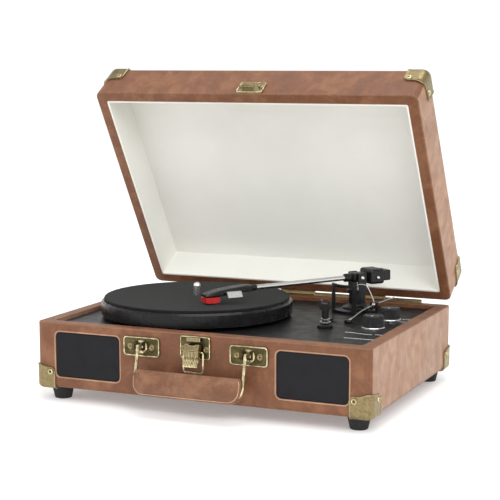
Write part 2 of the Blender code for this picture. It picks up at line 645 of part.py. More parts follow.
def build_tonearm():
    """The fixed base with its lift bar, the swinging gimbal and the lifting arm with its head and weight."""
    profile = [(0.0, DECK_TOP + GAP), (16.0, DECK_TOP + GAP), (16.0, 74.5), (15.0, 75.8), (10.5, 77.0),
               (9.0, 79.0), (8.5, 90.0), (0.0, 90.0)]
    start, end = LIFT_BAR_DEG
    foot = prism(sector(12.0, LIFT_BAR_R[1], start, end), DECK_TOP + GAP, 73.8)
    legs = together(prism(sector(*LIFT_BAR_R, start, start + 10.0), 73.0, LIFT_BAR_Z[0] + 0.5),
                    prism(sector(*LIFT_BAR_R, end - 10.0, end), 73.0, LIFT_BAR_Z[0] + 0.5))
    bar = prism(sector(*LIFT_BAR_R, start, end), *LIFT_BAR_Z)
    solid("tonearm_base", lathe(profile, ARM_PIVOT, steps=28), PLASTIC_BLACK, add=[foot, legs, bar])
    disc = lathe([(0.0, 90.3), (11.0, 90.3), (11.0, 93.4), (10.0, 94.4), (0.0, 94.4)], steps=24)
    posts = []
    pins = []
    for side in (-1, 1):
        low_y, high_y = sorted((side * 7.4, side * 10.4))
        posts.append(box((-5.0, low_y, 92.0), (5.0, high_y, ARM_Z + 5.0), 0.8))
        start, end = sorted((side * 4.6, side * 8.0))
        pins.append(prism(circle((0.0, ARM_Z), 1.2, 10), start, end, "Y"))
    solid("arm_gimbal", arm_shape(disc), PLASTIC_BLACK, ARM_ORIGIN, arm_axis,
          add=[arm_shape(together(*posts)), arm_shape(together(*pins))])
    rod = sweep([(-36.6, 0.0, ARM_Z), (-8.0, 0.0, ARM_Z), (16.0, 0.0, ARM_Z),
                 (TUBE_END, 0.0, ARM_Z - ARM_DROP)], TUBE_R, 12)
    collar = prism(circle((0.0, ARM_Z), COLLAR_R, 16), 6.5, 16.5, "X")
    block = box((-8.0, -6.4, ARM_Z - 4.6), (8.0, 6.4, ARM_Z + 4.6), 0.8)
    bore = prism(circle((0.0, ARM_Z), 1.2 + GAP, 12), -9.0, 9.0, "Y")
    solid("arm_tube", arm_shape(block), ALUMINIUM, ARM_ORIGIN, arm_axis,
          add=[arm_shape(rod), arm_shape(collar)], cut=[arm_shape(bore)])
    sections = ((TUBE_END + GAP, 3.7, 101.4, 107.6), (TUBE_END + 4.0, 4.5, 101.2, 108.2),
                (TUBE_END + 9.0, 6.4, 101.8, 108.4), (TUBE_END + 23.0, 7.2, 101.0, 107.2),
                (HEADSHELL_END - 16.0, 7.2, 99.6, 105.8), (HEADSHELL_END - 9.0, 7.2, 99.2, 104.4),
                (HEADSHELL_END - 2.0, 6.6, 99.2, 102.6), (HEADSHELL_END, 6.2, 99.4, 102.0))
    rings = []
    for x, half, low, high in sections:
        outline = rounded_rect((0.0, (low + high) / 2), (half, (high - low) / 2), 1.4, 2)
        rings.append([(x, y, z) for y, z in outline])
    solid("headshell", arm_shape(loft(rings)), PLASTIC_BLACK, ARM_ORIGIN, arm_axis)
    low = 99.2 - GAP
    side_view = [(165.0, low), (165.0, 94.0), (170.0, 93.2), (179.6, 93.8), (180.2, low)]
    cartridge = prism(side_view, -6.0, 6.0, "Y")
    solid("cartridge", arm_shape(cartridge), RED_PLASTIC, ARM_ORIGIN, arm_axis)
    side_view = [(170.5, 92.9), (171.5, 92.4), (176.6, 92.6), (177.4, 92.1), (178.2, 92.7), (178.6, 93.3)]
    stylus = prism(side_view, -1.2, 1.2, "Y")
    solid("stylus", arm_shape(stylus), PLASTIC_BLACK, ARM_ORIGIN, arm_axis)
    lift = [(7.2 + GAP, 104.4), (7.2 + GAP, 103.0), (9.6, 102.6), (12.0, 98.4), (13.4, 97.8), (14.4, 98.8),
            (12.0, 103.6), (10.4, 104.4)]
    finger = loft([[(x, y, z) for y, z in lift] for x in (144.0, 160.0)])
    solid("finger_lift", arm_shape(finger), STEEL, ARM_ORIGIN, arm_axis)
    housing = box((-27.0, -11.5, 99.0), (-9.5, 11.5, 114.8), 2.6)
    slab = box((-36.0, -9.0, 101.8), (-26.0, 9.0, 112.8), 1.2)
    screw = dome((-18.0, 106.0), "Y", 11.5, 1.4, 1.9)
    hole = prism(circle((0.0, ARM_Z), TUBE_R + GAP, 12), -40.0, -5.0, "X")
    solid("counterweight", arm_shape(housing), PLASTIC_BLACK, ARM_ORIGIN, arm_axis,
          add=[arm_shape(slab), arm_shape(screw)], cut=[arm_shape(hole)])


def build_cue_lever():
    """The long wire lever beside the arm base that raises and lowers the arm, in its bracket."""
    x, y, z = CUE_PIVOT
    foot = box((x - 6.0, y - 5.0, DECK_TOP + GAP), (x + 3.2, y + 5.0, 75.8), 0.8)
    ears = [box((x + shift - 0.9, y - 3.0, 75.0), (x + shift + 0.9, y + 3.0, z + 3.0), 0.4)
            for shift in (-2.9, 2.9)]
    bore = prism(circle((y, z), 1.0 + GAP, 10), x - 7.0, x + 6.0, "X")
    solid("cue_bracket", foot, PLASTIC_BLACK, add=[together(*ears)], cut=[bore])
    axis = add_empty("cue_axis", CUE_PIVOT)
    hub = prism(circle((y, z), 2.4, 12), x - 1.6, x + 1.6, "X")
    axle = prism(circle((y, z), 1.0, 10), x - 3.8, x + 3.8, "X")
    tip = (x - 2.1, y - 71.0, z - 5.0)
    knee = (x - 1.4, y - 35.0, z - 1.0)
    wire = sweep([tip, knee, (x, y, z), (x + 4.5, y + 17.0, z + 1.2), (x + 10.0, y + 35.0, z + 3.0)],
                 0.8)
    toward = (Vector(knee) - Vector(tip)).normalized()
    sleeve = sweep([Vector(tip) - toward, Vector(tip) + 2 * toward, Vector(tip) + 6 * toward], 1.5)
    solid("cue_lever", hub, STEEL, CUE_PIVOT, axis, add=[axle, wire, sleeve])


def build_arm_rest():
    """The post whose forked cradle holds the parked arm."""
    x, y = ARM_REST
    profile = [(0.0, DECK_TOP + GAP), (8.0, DECK_TOP + GAP), (8.0, 73.5), (4.2, 75.5), (3.4, 78.0),
               (3.4, 90.0), (0.0, 90.0)]
    top = ARM_REST_TOP
    half = [(5.8, top), (5.8, top - 6.5), (3.6, top - 9.5)]
    fork = [(3.0, top - 3.4), (4.0, top)]
    outline = [(x - u, z) for u, z in half] + [(x + u, z) for u, z in half[::-1]]
    outline += [(x + u, z) for u, z in fork[::-1]] + [(x - u, z) for u, z in fork]
    cradle = prism(outline, y - 3.0, y + 3.0, "Y")
    solid("arm_rest", lathe(profile, ARM_REST, steps=20), PLASTIC_BLACK, add=[cradle])


# ---------------------------------------------------------------- front hardware

def build_handle_plates():
    """Two plates that carry the handle's pivots between pairs of ears."""
    back = FRONT_Y - GAP
    face = back - PLATE_T
    for side, word in ((-1, "left"), (1, "right")):
        centre = (HANDLE_MIDDLE + side * HANDLE_X, 58.8)
        plate = prism(rounded_rect(centre, (19.4, 9.5), 3.5, 3), face, back, "Y")
        extras = [dome((centre[0] + shift, centre[1]), "Y", face, -1.1, 2.8) for shift in (-11.5, 11.5)]
        ear = arc((HANDLE_Y, HANDLE_Z), 3.6, 90.0, 270.0, 7)
        ear += [(face + 0.5, HANDLE_Z - 4.4), (face + 0.5, HANDLE_Z + 4.4)]
        for shift in (-3.8, 3.8):
            start = centre[0] + shift
            extras.append(prism(ear, start - 1.3, start + 1.3, "X"))
        bore = prism(circle((HANDLE_Y, HANDLE_Z), ROD_R + GAP, 12), centre[0] - 8.0, centre[0] + 8.0, "X")
        solid(f"handle_plate_{word}", plate, BRASS, add=[together(*extras)], cut=[bore])


HANDLE = (0.0, HANDLE_Y, HANDLE_Z)
handle_axis = add_empty("handle_axis", HANDLE, (-math.radians(HANDLE_TILT_DEG), 0.0, 0.0))


def build_handle():
    """The wire frame and the leather grip, drawn hanging straight down."""
    low = HANDLE_Z - HANDLE_DROP
    bend_z = low + HANDLE_BEND
    path = [(-HANDLE_X, HANDLE_Z)]
    path += arc((-HANDLE_X + HANDLE_BEND, bend_z), HANDLE_BEND, 180.0, 270.0, 5)
    path += arc((HANDLE_X - HANDLE_BEND, bend_z), HANDLE_BEND, 270.0, 360.0, 5)
    path.append((HANDLE_X, HANDLE_Z))
    frame = sweep([(HANDLE_MIDDLE + x, HANDLE_Y, z) for x, z in path], ROD_R, 10)
    pins = []
    for side in (-1, 1):
        eye = HANDLE_MIDDLE + side * HANDLE_X
        pins.append(prism(circle((HANDLE_Y, HANDLE_Z), ROD_R, 12), eye - 5.4, eye + 5.4, "X"))
    solid("handle_frame", frame, BRASS, HANDLE, handle_axis, add=[together(*pins)])
    top = HANDLE_Z - 21.5
    bottom = HANDLE_Z - 46.0
    half = 56.0
    outline = []
    for cx, cz, radius, start in ((half - 4.0, top - 4.0, 4.0, 0.0), (-half + 4.0, top - 4.0, 4.0, 90.0),
                                  (-half + 14.0, bottom + 14.0, 14.0, 180.0),
                                  (half - 14.0, bottom + 14.0, 14.0, 270.0)):
        outline += arc((cx, cz), radius, start, start + 90.0, 4)
    middle = (top + bottom) / 2
    layers = ((0.0, HANDLE_Y - 2.3), (0.0, HANDLE_Y - 9.0), (1.0, HANDLE_Y - 10.8), (3.0, HANDLE_Y - 11.6))
    rings = []
    for inset, y in layers:
        shrink_x = 1 - inset / half
        shrink_z = 1 - inset / ((top - bottom) / 2)
        rings.append([(HANDLE_MIDDLE + x * shrink_x, y, middle + (z - middle) * shrink_z)
                      for x, z in outline])
    fold = box((HANDLE_MIDDLE - 41.0, HANDLE_Y - 3.0, bottom),
               (HANDLE_MIDDLE + 41.0, HANDLE_Y + 3.6, bottom + 9.0), 0.9)
    tunnel = prism(circle((HANDLE_Y, low), ROD_R + GAP, 12), HANDLE_MIDDLE - 43.0, HANDLE_MIDDLE + 43.0, "X")
    solid("handle_grip", loft(rings), GRIP_LEATHER, HANDLE, handle_axis, add=[fold], cut=[tunnel])


def build_latch():
    """The base plate with its pin, the over-centre lever and the wire bail."""
    back = FRONT_Y - GAP
    face = back - PLATE_T
    plate = prism(rounded_rect((0.0, 62.3), (15.7, 11.0), 2.5, 3), face, back, "Y")
    knuckle = arc((PIVOT_Y, LEVER_PIN_Z), 3.0, 90.0, 270.0, 7)
    knuckle += [(face + 0.5, LEVER_PIN_Z - 3.8), (face + 0.5, LEVER_PIN_Z + 3.8)]
    extras = [dome((shift, 61.0), "Y", face, -1.1, 2.6) for shift in (-11.8, 11.8)]
    extras.append(prism(knuckle, -3.0, 3.0, "X"))
    extras.append(box((-7.2, face - 3.4, 68.6), (7.2, face + 0.4, 72.6), 0.7))
    rod = prism(circle((PIVOT_Y, LEVER_PIN_Z), 1.5, 12), -7.4, 7.4, "X")
    solid("latch_plate", plate, BRASS, add=[together(*extras), rod])
    pin = (0.0, PIVOT_Y, LEVER_PIN_Z)
    lever_axis = add_empty("lever_axis", pin)
    front = PIVOT_Y - 5.0
    side_view = arc((PIVOT_Y, LEVER_PIN_Z), 3.5, 80.0, -30.0, 5)
    side_view += arc((PIVOT_Y, BAIL_PIN_Z), 2.8, 0.0, -70.0, 3)
    side_view += [(PIVOT_Y - 2.6, 54.2), (PIVOT_Y - 3.0, 51.6), (PIVOT_Y - 5.4, 48.2), (PIVOT_Y - 8.8, 46.0),
                  (PIVOT_Y - 9.4, 47.6), (PIVOT_Y - 6.8, 49.6), (PIVOT_Y - 4.9, 52.4), (front + 0.3, 54.6),
                  (front - 0.4, 57.5), (front - 0.2, 62.0), (PIVOT_Y - 3.4, 66.4)]
    lever = prism(side_view, -LEVER_HALF, LEVER_HALF, "X")
    slot = box((-3.3, PIVOT_Y - 3.4, 51.0), (3.3, PIVOT_Y + 6.0, 69.0))
    bores = [prism(circle((PIVOT_Y, z), radius, 12), -LEVER_HALF - 1.0, LEVER_HALF + 1.0, "X")
             for z, radius in ((LEVER_PIN_Z, 1.5 + GAP), (BAIL_PIN_Z, BAIL_R + GAP))]
    solid("latch_lever", lever, BRASS, pin, lever_axis, cut=[slot, *bores])
    bail_pin = (0.0, PIVOT_Y, BAIL_PIN_Z)
    bail_axis = add_empty("bail_axis", (0.0, 0.0, 0.0))
    bail_axis.parent = lever_axis
    bail_axis.location = (Vector(bail_pin) - Vector(pin)) * MM
    bail_axis["pivot_mm"] = bail_pin
    low = BAIL_PIN_Z - BAIL_LENGTH
    bend = 2.6
    path = [(-4.2, BAIL_PIN_Z), (-BAIL_X + 1.6, BAIL_PIN_Z)]
    path += arc((-BAIL_X + 1.6, BAIL_PIN_Z - 1.6), 1.6, 90.0, 180.0, 3)[1:]
    path += arc((-BAIL_X + bend, low + bend), bend, 180.0, 270.0, 3)
    path += [(-x, z) for x, z in path[::-1]]
    bail = sweep([(x, PIVOT_Y, z) for x, z in path], BAIL_R, 8)
    solid("latch_bail", bail, BRASS, bail_pin, bail_axis)


def build_keeper():
    """The hook plate on the front wall of the lid."""
    back = FRONT_Y - GAP
    face = back - PLATE_T
    low = LID_RIM_Z + 0.5
    plate = prism(rounded_rect((0.0, low + 8.8), (14.3, 8.8), 2.5, 3), face, back, "Y")
    bar = low + 0.4
    hook = [(face + 0.5, bar + 1.6), (face + 0.5, bar + 0.1), (PIVOT_Y - 2.4, bar + 0.1),
            (PIVOT_Y - 4.0, bar + 1.8), (PIVOT_Y - 4.0, bar + 5.6), (PIVOT_Y - 2.8, bar + 5.6),
            (PIVOT_Y - 2.4, bar + 2.4), (PIVOT_Y - 1.8, bar + 1.6)]
    extras = [dome((shift, low + 10.4), "Y", face, -1.1, 2.6) for shift in (-10.4, 10.4)]
    extras.append(prism(hook, -6.5, 6.5, "X"))
    solid("latch_keeper", plate, BRASS, HINGE, lid_axis, add=[together(*extras)])


def build_jacks():
    """The rear panel with two round signal sockets and the low-voltage inlet."""
    middle = ((JACK_X[0] + JACK_X[1]) / 2, (JACK_Z[0] + JACK_Z[1]) / 2)
    half = ((JACK_X[1] - JACK_X[0]) / 2 - GAP, (JACK_Z[1] - JACK_Z[0]) / 2 - GAP)
    panel_back = BACK_Y - 3.0 + GAP
    panel = prism(rounded_rect(middle, half, 2.7, 2), panel_back, panel_back + 1.6, "Y")
    places = [(middle[0] + shift, middle[1]) for shift in (-16.0, 0.0, 17.0)]
    holes = [prism(circle(place, 4.6, 16), panel_back - 2.0, panel_back + 4.0, "Y") for place in places]
    solid("rear_jack_panel", panel, PLASTIC_BLACK, cut=[together(*holes)])
    for name, place, bore, material in (("signal_socket_left", places[0], 1.6, STEEL),
                                        ("signal_socket_right", places[1], 1.6, STEEL),
                                        ("power_inlet", places[2], 2.8, PLASTIC_BLACK)):
        start = panel_back - 9.0
        profile = [(0.0, start), (4.3, start), (4.3, panel_back + 4.4), (bore, panel_back + 4.4),
                   (bore, start + 4.0), (0.0, start + 4.0)]
        solid(name, lathe(profile, place, "Y", 16), material)


build_base_shell()
build_speakers()
build_feet()
build_base_corners()
build_lid()
build_hinge()
build_deck()
build_platter()
build_drive()
build_controls()
build_tonearm()
build_cue_lever()
build_arm_rest()
build_handle_plates()
build_handle()
build_latch()
build_keeper()
build_jacks()
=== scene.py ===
"""Looks of the suitcase record player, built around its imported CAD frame.

Lengths are metres in the frame's own axes: +Z up, the speakers and handle face -Y, the
tonearm and knobs are at +X. The lid is modelled where it stands open, so shapes on it are
drawn for the closed lid and turned about the hinge.
"""

import json
import math
import random

import bmesh
import bpy
from mathutils import Matrix, Vector, noise


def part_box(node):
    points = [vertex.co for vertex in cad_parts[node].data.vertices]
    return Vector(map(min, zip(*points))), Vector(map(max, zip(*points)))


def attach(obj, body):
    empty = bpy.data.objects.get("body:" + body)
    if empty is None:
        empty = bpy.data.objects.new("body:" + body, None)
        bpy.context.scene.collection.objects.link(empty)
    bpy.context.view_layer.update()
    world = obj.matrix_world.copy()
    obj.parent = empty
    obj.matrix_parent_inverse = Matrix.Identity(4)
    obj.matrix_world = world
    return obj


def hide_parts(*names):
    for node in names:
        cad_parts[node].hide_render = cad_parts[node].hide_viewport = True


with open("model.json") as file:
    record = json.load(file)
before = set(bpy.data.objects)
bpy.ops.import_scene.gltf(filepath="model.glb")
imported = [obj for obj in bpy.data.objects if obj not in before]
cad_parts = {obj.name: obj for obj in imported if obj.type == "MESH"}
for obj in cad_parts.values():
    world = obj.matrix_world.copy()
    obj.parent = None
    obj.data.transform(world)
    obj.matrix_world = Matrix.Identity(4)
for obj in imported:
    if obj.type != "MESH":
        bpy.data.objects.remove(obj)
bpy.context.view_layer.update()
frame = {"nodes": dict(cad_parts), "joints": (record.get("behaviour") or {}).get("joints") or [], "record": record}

MM = 0.001
GAP = 0.3 * MM
JOINTS = {joint["name"]: joint for joint in frame["joints"]}


def joint_place(name):
    """The point on a hinge's axis."""
    return Vector(JOINTS[name]["pos_m"])


LID_OPEN = math.radians(-JOINTS["lid_hinge"]["range_deg"][0])
HINGE = joint_place("lid_hinge")
CLOSED_TO_OPEN = (Matrix.Translation(HINGE) @ Matrix.Rotation(-LID_OPEN, 4, "X")
                  @ Matrix.Translation(-HINGE))

BASE_LOW, BASE_HIGH = (Vector(corner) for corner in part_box("base_shell"))
CASE_W = BASE_HIGH.x - BASE_LOW.x
CASE_D = BASE_HIGH.y - BASE_LOW.y
MIDDLE_Y = (BASE_LOW.y + BASE_HIGH.y) / 2
FRONT_Y = BASE_LOW.y
DECK_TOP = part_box("tonearm_base")[0].z - GAP
LID_DEPTH = 45.7 * MM
LID_TOP = HINGE.z + LID_DEPTH
PLATE_FACE = FRONT_Y - 1.5 * MM

HANDLE = joint_place("handle_swing")
HANDLE_X = 56.1 * MM
HANDLE_MIDDLE = -1.1 * MM
HANDLE_TILT = math.radians(-14.0)
HANDLE_PLACE = (Matrix.Translation(HANDLE + Vector((HANDLE_MIDDLE, 0.0, 0.0)))
                @ Matrix.Rotation(HANDLE_TILT, 4, "X") @ Matrix.Translation(-HANDLE))
LEVER_PIN = joint_place("latch_lever_turn")
BAIL_PIN = joint_place("latch_bail_swing")
ARM_PIVOT = joint_place("arm_swing")
ARM_ANGLE = math.radians(-127.6)
ARM_PLACE = Matrix.Translation(ARM_PIVOT) @ Matrix.Rotation(ARM_ANGLE, 4, "Z")


# ---------------------------------------------------------------- materials

class Paint:
    """One procedural material, with short names for the nodes it needs."""

    def __init__(self, name, roughness=0.5, metallic=0.0, **sockets):
        self.material = bpy.data.materials.new(name)
        self.material.use_nodes = True
        self.tree = self.material.node_tree
        self.shader = self.tree.nodes["Principled BSDF"]
        self.set("Roughness", roughness)
        self.set("Metallic", metallic)
        for socket, value in sockets.items():
            self.set(socket.replace("_", " "), value)
        self.normal = None

    def set(self, socket, value):
        """Sets a shader socket to a value, or links it to another node."""
        target = self.shader.inputs[socket]
        if isinstance(value, bpy.types.NodeSocket):
            self.tree.links.new(value, target)
        elif isinstance(value, tuple):
            target.default_value = (*value, 1.0)[:4]
        else:
            target.default_value = value

    def feed(self, socket, value):
        """Links or sets one input of a node."""
        if isinstance(value, bpy.types.NodeSocket):
            self.tree.links.new(value, socket)
        else:
            socket.default_value = value

    def node(self, kind, **inputs):
        """A node with some of its inputs set or linked, by name."""
        made = self.tree.nodes.new(kind)
        for name, value in inputs.items():
            self.feed(made.inputs[name.replace("_", " ")], value)
        return made

    def place(self, scale=(1.0, 1.0, 1.0), turn=0.0):
        """Coordinates fixed to the piece, in metres, turned about X and then stretched."""
        coords = self.node("ShaderNodeTexCoord").outputs["Object"]
        if turn:
            coords = self.node("ShaderNodeVectorRotate", Vector=coords, Angle=turn, Axis=(1.0, 0.0, 0.0),
                               Center=tuple(HINGE)).outputs["Vector"]
        mapping = self.node("ShaderNodeMapping", Vector=coords)
        mapping.inputs["Scale"].default_value = scale
        return mapping.outputs["Vector"]

    def noise(self, scale, detail=3.0, rough=0.5, where=None, warp=0.0):
        """Cloudy noise from 0 to 1."""
        made = self.node("ShaderNodeTexNoise", Vector=where or self.place(), Scale=scale, Detail=detail,
                         Roughness=rough, Distortion=warp)
        return made.outputs["Fac"]

    def cells(self, scale, where=None):
        """Voronoi cells: the distance to the nearest cell edge."""
        made = self.node("ShaderNodeTexVoronoi", Vector=where or self.place(), Scale=scale)
        made.feature = "DISTANCE_TO_EDGE"
        return made.outputs["Distance"]

    def span(self, value, low, high, to_low=0.0, to_high=1.0):
        """Maps a stretch of a value onto another, and holds it there."""
        made = self.node("ShaderNodeMapRange", Value=value)
        made.inputs["From Min"].default_value = low
        made.inputs["From Max"].default_value = high
        made.inputs["To Min"].default_value = to_low
        made.inputs["To Max"].default_value = to_high
        return made.outputs["Result"]

    def sums(self, operation, first, second=0.0):
        """One step of arithmetic."""
        made = self.node("ShaderNodeMath")
        made.operation = operation
        self.feed(made.inputs[0], first)
        self.feed(made.inputs[1], second)
        return made.outputs["Value"]

    def axis(self, letter, where=None):
        """One coordinate of a place."""
        return self.node("ShaderNodeSeparateXYZ", Vector=where or self.place()).outputs[letter]

    def blend(self, first, second, share):
        """Mixes two colours."""
        made = self.node("ShaderNodeMix")
        made.data_type = "RGBA"
        for socket, value in ((made.inputs[6], first), (made.inputs[7], second)):
            self.feed(socket, (*value, 1.0) if isinstance(value, tuple) else value)
        self.feed(made.inputs[0], share)
        return made.outputs[2]

    def edge_wear_and_highlight(self, radius=0.7 * MM):
        """Where the surface turns sharply, for rubbed edges and for painted edge highlights."""
        rounded = self.node("ShaderNodeBevel", Radius=radius)
        rounded.samples = 6
        turn = self.node("ShaderNodeVectorMath")
        turn.operation = "DOT_PRODUCT"
        self.tree.links.new(rounded.outputs["Normal"], turn.inputs[0])
        self.tree.links.new(self.node("ShaderNodeNewGeometry").outputs["Normal"], turn.inputs[1])
        return self.span(turn.outputs["Value"], 0.99, 0.86)

    def bump(self, height, depth, strength=1.0):
        """Adds relief of a depth in metres over what is there."""
        made = self.node("ShaderNodeBump", Height=height, Distance=depth, Strength=strength)
        if self.normal:
            self.tree.links.new(self.normal, made.inputs["Normal"])
        self.normal = made.outputs["Normal"]
        self.set("Normal", self.normal)


def leather(name, dark, mid, light, turn=0.0, case=True):
    """Mottled leatherette: cloudy colour, pebbled grain, faint streaks, painted highlights on the edges and, on
    the case, painted light on the side faces.
    """
    paint = Paint(name, Specular_IOR_Level=0.35)
    where = paint.place(turn=turn)
    cloud = paint.noise(24.0, 5.0, 0.62, where, 1.1)
    patch = paint.noise(75.0, 4.0, 0.6, paint.place((1.0, 1.0, 0.8), turn), 0.4)
    fleck = paint.noise(480.0, 3.0, 0.7, where)
    share = paint.sums("ADD", paint.sums("MULTIPLY", cloud, 0.6), paint.sums("MULTIPLY", patch, 0.4))
    base = paint.blend(dark, mid, paint.span(share, 0.32, 0.58))
    base = paint.blend(base, light, paint.span(share, 0.5, 0.74, 0.0, 0.7))
    base = paint.blend(base, light, paint.span(fleck, 0.54, 0.8, 0.0, 0.35))
    base = paint.blend(base, dark, paint.span(fleck, 0.46, 0.28, 0.0, 0.35))
    # Painted light: on the case, faces that look along X are blended towards a paler tan, as if the lamps lit the
    # sides more.
    if case:
        normal = paint.node("ShaderNodeNewGeometry").outputs["Normal"]
        side_face_light = paint.sums("ABSOLUTE", paint.axis("X", normal))
        pale = paint.blend(light, (0.60, 0.40, 0.28), paint.span(patch, 0.2, 0.7))
        base = paint.blend(base, pale, paint.span(side_face_light, 0.86, 0.99, 0.0, 0.55))
    # Painted highlight: sharp edges are blended towards a light tan, standing in for light caught on the rounded
    # leather edges.
    base = paint.blend(base, (0.64, 0.44, 0.30), paint.sums("MULTIPLY", paint.edge_wear_and_highlight(), 0.6))
    paint.set("Base Color", base)
    paint.set("Roughness", paint.span(cloud, 0.3, 0.7, 0.42, 0.58))
    paint.bump(cloud, 0.5 * MM, 0.2)
    paint.bump(paint.span(paint.cells(950.0, where), 0.0, 0.3), 0.14 * MM, 0.5)
    paint.bump(paint.noise(2400.0, 2.0, 0.6, where), 0.05 * MM, 0.5)
    return paint.material


def aged_brass(name):
    """Antique brass: finely speckled gold and olive, brown in the low spots, bright on the edges."""
    paint = Paint(name, metallic=1.0)
    speckle = paint.noise(1900.0, 3.0, 0.65)
    cloud = paint.noise(170.0, 4.0, 0.6)
    base = paint.blend((0.15, 0.115, 0.05), (0.32, 0.25, 0.125), paint.span(speckle, 0.36, 0.56))
    base = paint.blend(base, (0.60, 0.50, 0.29), paint.span(speckle, 0.54, 0.74, 0.0, 0.6))
    base = paint.blend(base, (0.13, 0.10, 0.045), paint.span(cloud, 0.48, 0.68, 0.0, 0.6))
    base = paint.blend(base, (0.95, 0.86, 0.58), paint.sums("MULTIPLY", paint.edge_wear_and_highlight(), 0.85))
    paint.set("Base Color", base)
    paint.set("Roughness", paint.span(speckle, 0.3, 0.7, 0.44, 0.26))
    paint.bump(speckle, 0.05 * MM, 0.4)
    return paint.material


def dark_brass(name):
    """The darkened field between the raised edges of a pressed plate."""
    paint = Paint(name, metallic=1.0)
    speckle = paint.noise(900.0, 4.0, 0.7)
    cloud = paint.noise(120.0, 3.0, 0.6)
    base = paint.blend((0.035, 0.029, 0.012), (0.12, 0.10, 0.046), paint.span(speckle, 0.38, 0.62))
    paint.set("Base Color", paint.blend(base, (0.18, 0.15, 0.075), paint.span(cloud, 0.45, 0.75)))
    paint.set("Roughness", paint.span(speckle, 0.3, 0.7, 0.55, 0.32))
    paint.bump(speckle, 0.1 * MM, 0.5)
    return paint.material


def bright_brass(name):
    """Brass rubbed bright, as on the wire handle and the raised edges."""
    paint = Paint(name, metallic=1.0)
    cloud = paint.noise(260.0, 3.0, 0.6)
    base = paint.blend((0.34, 0.28, 0.14), (0.80, 0.70, 0.45), paint.span(cloud, 0.36, 0.62))
    paint.set("Base Color", base)
    paint.set("Roughness", paint.span(cloud, 0.3, 0.7, 0.32, 0.18))
    paint.bump(paint.noise(1500.0, 2.0, 0.6), 0.03 * MM, 0.5)
    return paint.material


def steel(name, tone=0.72, low=0.14, high=0.3):
    """Bright metal with fine turning marks."""
    paint = Paint(name, metallic=1.0)
    mark = paint.noise(700.0, 2.0, 0.5, paint.place((1.0, 1.0, 6.0)))
    paint.set("Base Color", paint.blend((tone * 0.86,) * 3, (tone,) * 3, mark))
    paint.set("Roughness", paint.span(mark, 0.3, 0.7, low, high))
    paint.bump(mark, 0.015 * MM, 0.4)
    return paint.material


def moulded(name, main, grain=1800.0, depth=0.03, low=0.32, high=0.5, shine=0.4):
    """Moulded plastic or paint with a fine spark-eroded grain and slightly rubbed edges."""
    paint = Paint(name, Specular_IOR_Level=shine)
    speck = paint.noise(grain, 2.0, 0.6)
    cloud = paint.noise(70.0, 3.0, 0.5)
    pale = tuple(channel * 1.5 + 0.003 for channel in main)
    rubbed = tuple(channel * 2.0 + 0.02 for channel in main)
    base = paint.blend(main, pale, paint.span(speck, 0.45, 0.75, 0.0, 0.7))
    paint.set("Base Color", paint.blend(base, rubbed, paint.sums("MULTIPLY", paint.edge_wear_and_highlight(), 0.6)))
    paint.set("Roughness", paint.span(cloud, 0.3, 0.7, low, high))
    paint.bump(speck, depth * MM, 0.6)
    return paint.material


def cream_lining(name):
    """Papery off-white lining with soft creases that run across the lid, painted shade along the creases, painted
    shade towards the lid's free edge and painted light towards the hinge.
    """
    paint = Paint(name, roughness=0.75)
    where = paint.place(turn=LID_OPEN)
    cloud = paint.noise(9.0, 4.0, 0.6, where)
    crease = paint.noise(10.0, 5.0, 0.6, paint.place((0.22, 1.9, 1.0), LID_OPEN))
    fibre = paint.noise(1500.0, 3.0, 0.6, where)
    base = paint.blend((0.82, 0.805, 0.74), (0.92, 0.91, 0.85), paint.span(cloud, 0.3, 0.65))
    # Painted shade: the lining is darkened along the creases.
    base = paint.blend(base, (0.68, 0.665, 0.60), paint.span(crease, 0.55, 0.78, 0.0, 0.4))
    # Painted light and shade: the lining is greyed towards the lid's free edge and lightened towards the hinge,
    # standing in for how the lamps fall on the open lid.
    hinge_side_light = paint.span(paint.axis("Y", where), HINGE.y - CASE_D, HINGE.y - 0.25 * CASE_D)
    base = paint.blend(paint.blend(base, (0.60, 0.58, 0.52), 0.28), base, hinge_side_light)
    base = paint.blend(base, (0.98, 0.98, 0.93), paint.sums("MULTIPLY", hinge_side_light, 0.6))
    paint.set("Base Color", base)
    paint.bump(crease, 1.6 * MM, 0.5)
    paint.bump(fibre, 0.05 * MM, 0.5)
    return paint.material


def woven(name, dark, light, pitch, depth):
    """A plain weave of threads over and under each other, seen from the front."""
    paint = Paint(name, roughness=0.85, Specular_IOR_Level=0.2)
    across = paint.sums("SINE", paint.sums("MULTIPLY", paint.axis("X"), 2 * math.pi / pitch))
    upward = paint.sums("SINE", paint.sums("MULTIPLY", paint.axis("Z"), 2 * math.pi / pitch))
    weave = paint.span(paint.sums("MULTIPLY", across, upward), -1.0, 1.0)
    dust = paint.noise(60.0, 3.0, 0.6)
    share = paint.sums("MULTIPLY", weave, paint.span(dust, 0.3, 0.7, 0.7, 1.0))
    paint.set("Base Color", paint.blend(dark, light, share))
    paint.bump(weave, depth, 0.8)
    return paint.material


def felt(name, tone):
    """Short felt with flecks of lighter fibre."""
    paint = Paint(name, roughness=0.95, Specular_IOR_Level=0.15, Sheen_Weight=0.05, Sheen_Roughness=0.5)
    fibre = paint.noise(2200.0, 4.0, 0.75)
    cloud = paint.noise(45.0, 3.0, 0.6)
    base = paint.blend((tone * 0.6,) * 3, (tone * 2.2,) * 3, paint.span(fibre, 0.4, 0.75))
    paint.set("Base Color", paint.blend(base, (tone * 1.1,) * 3, paint.span(cloud, 0.4, 0.7, 0.0, 0.5)))
    paint.bump(fibre, 0.12 * MM, 0.7)
    return paint.material


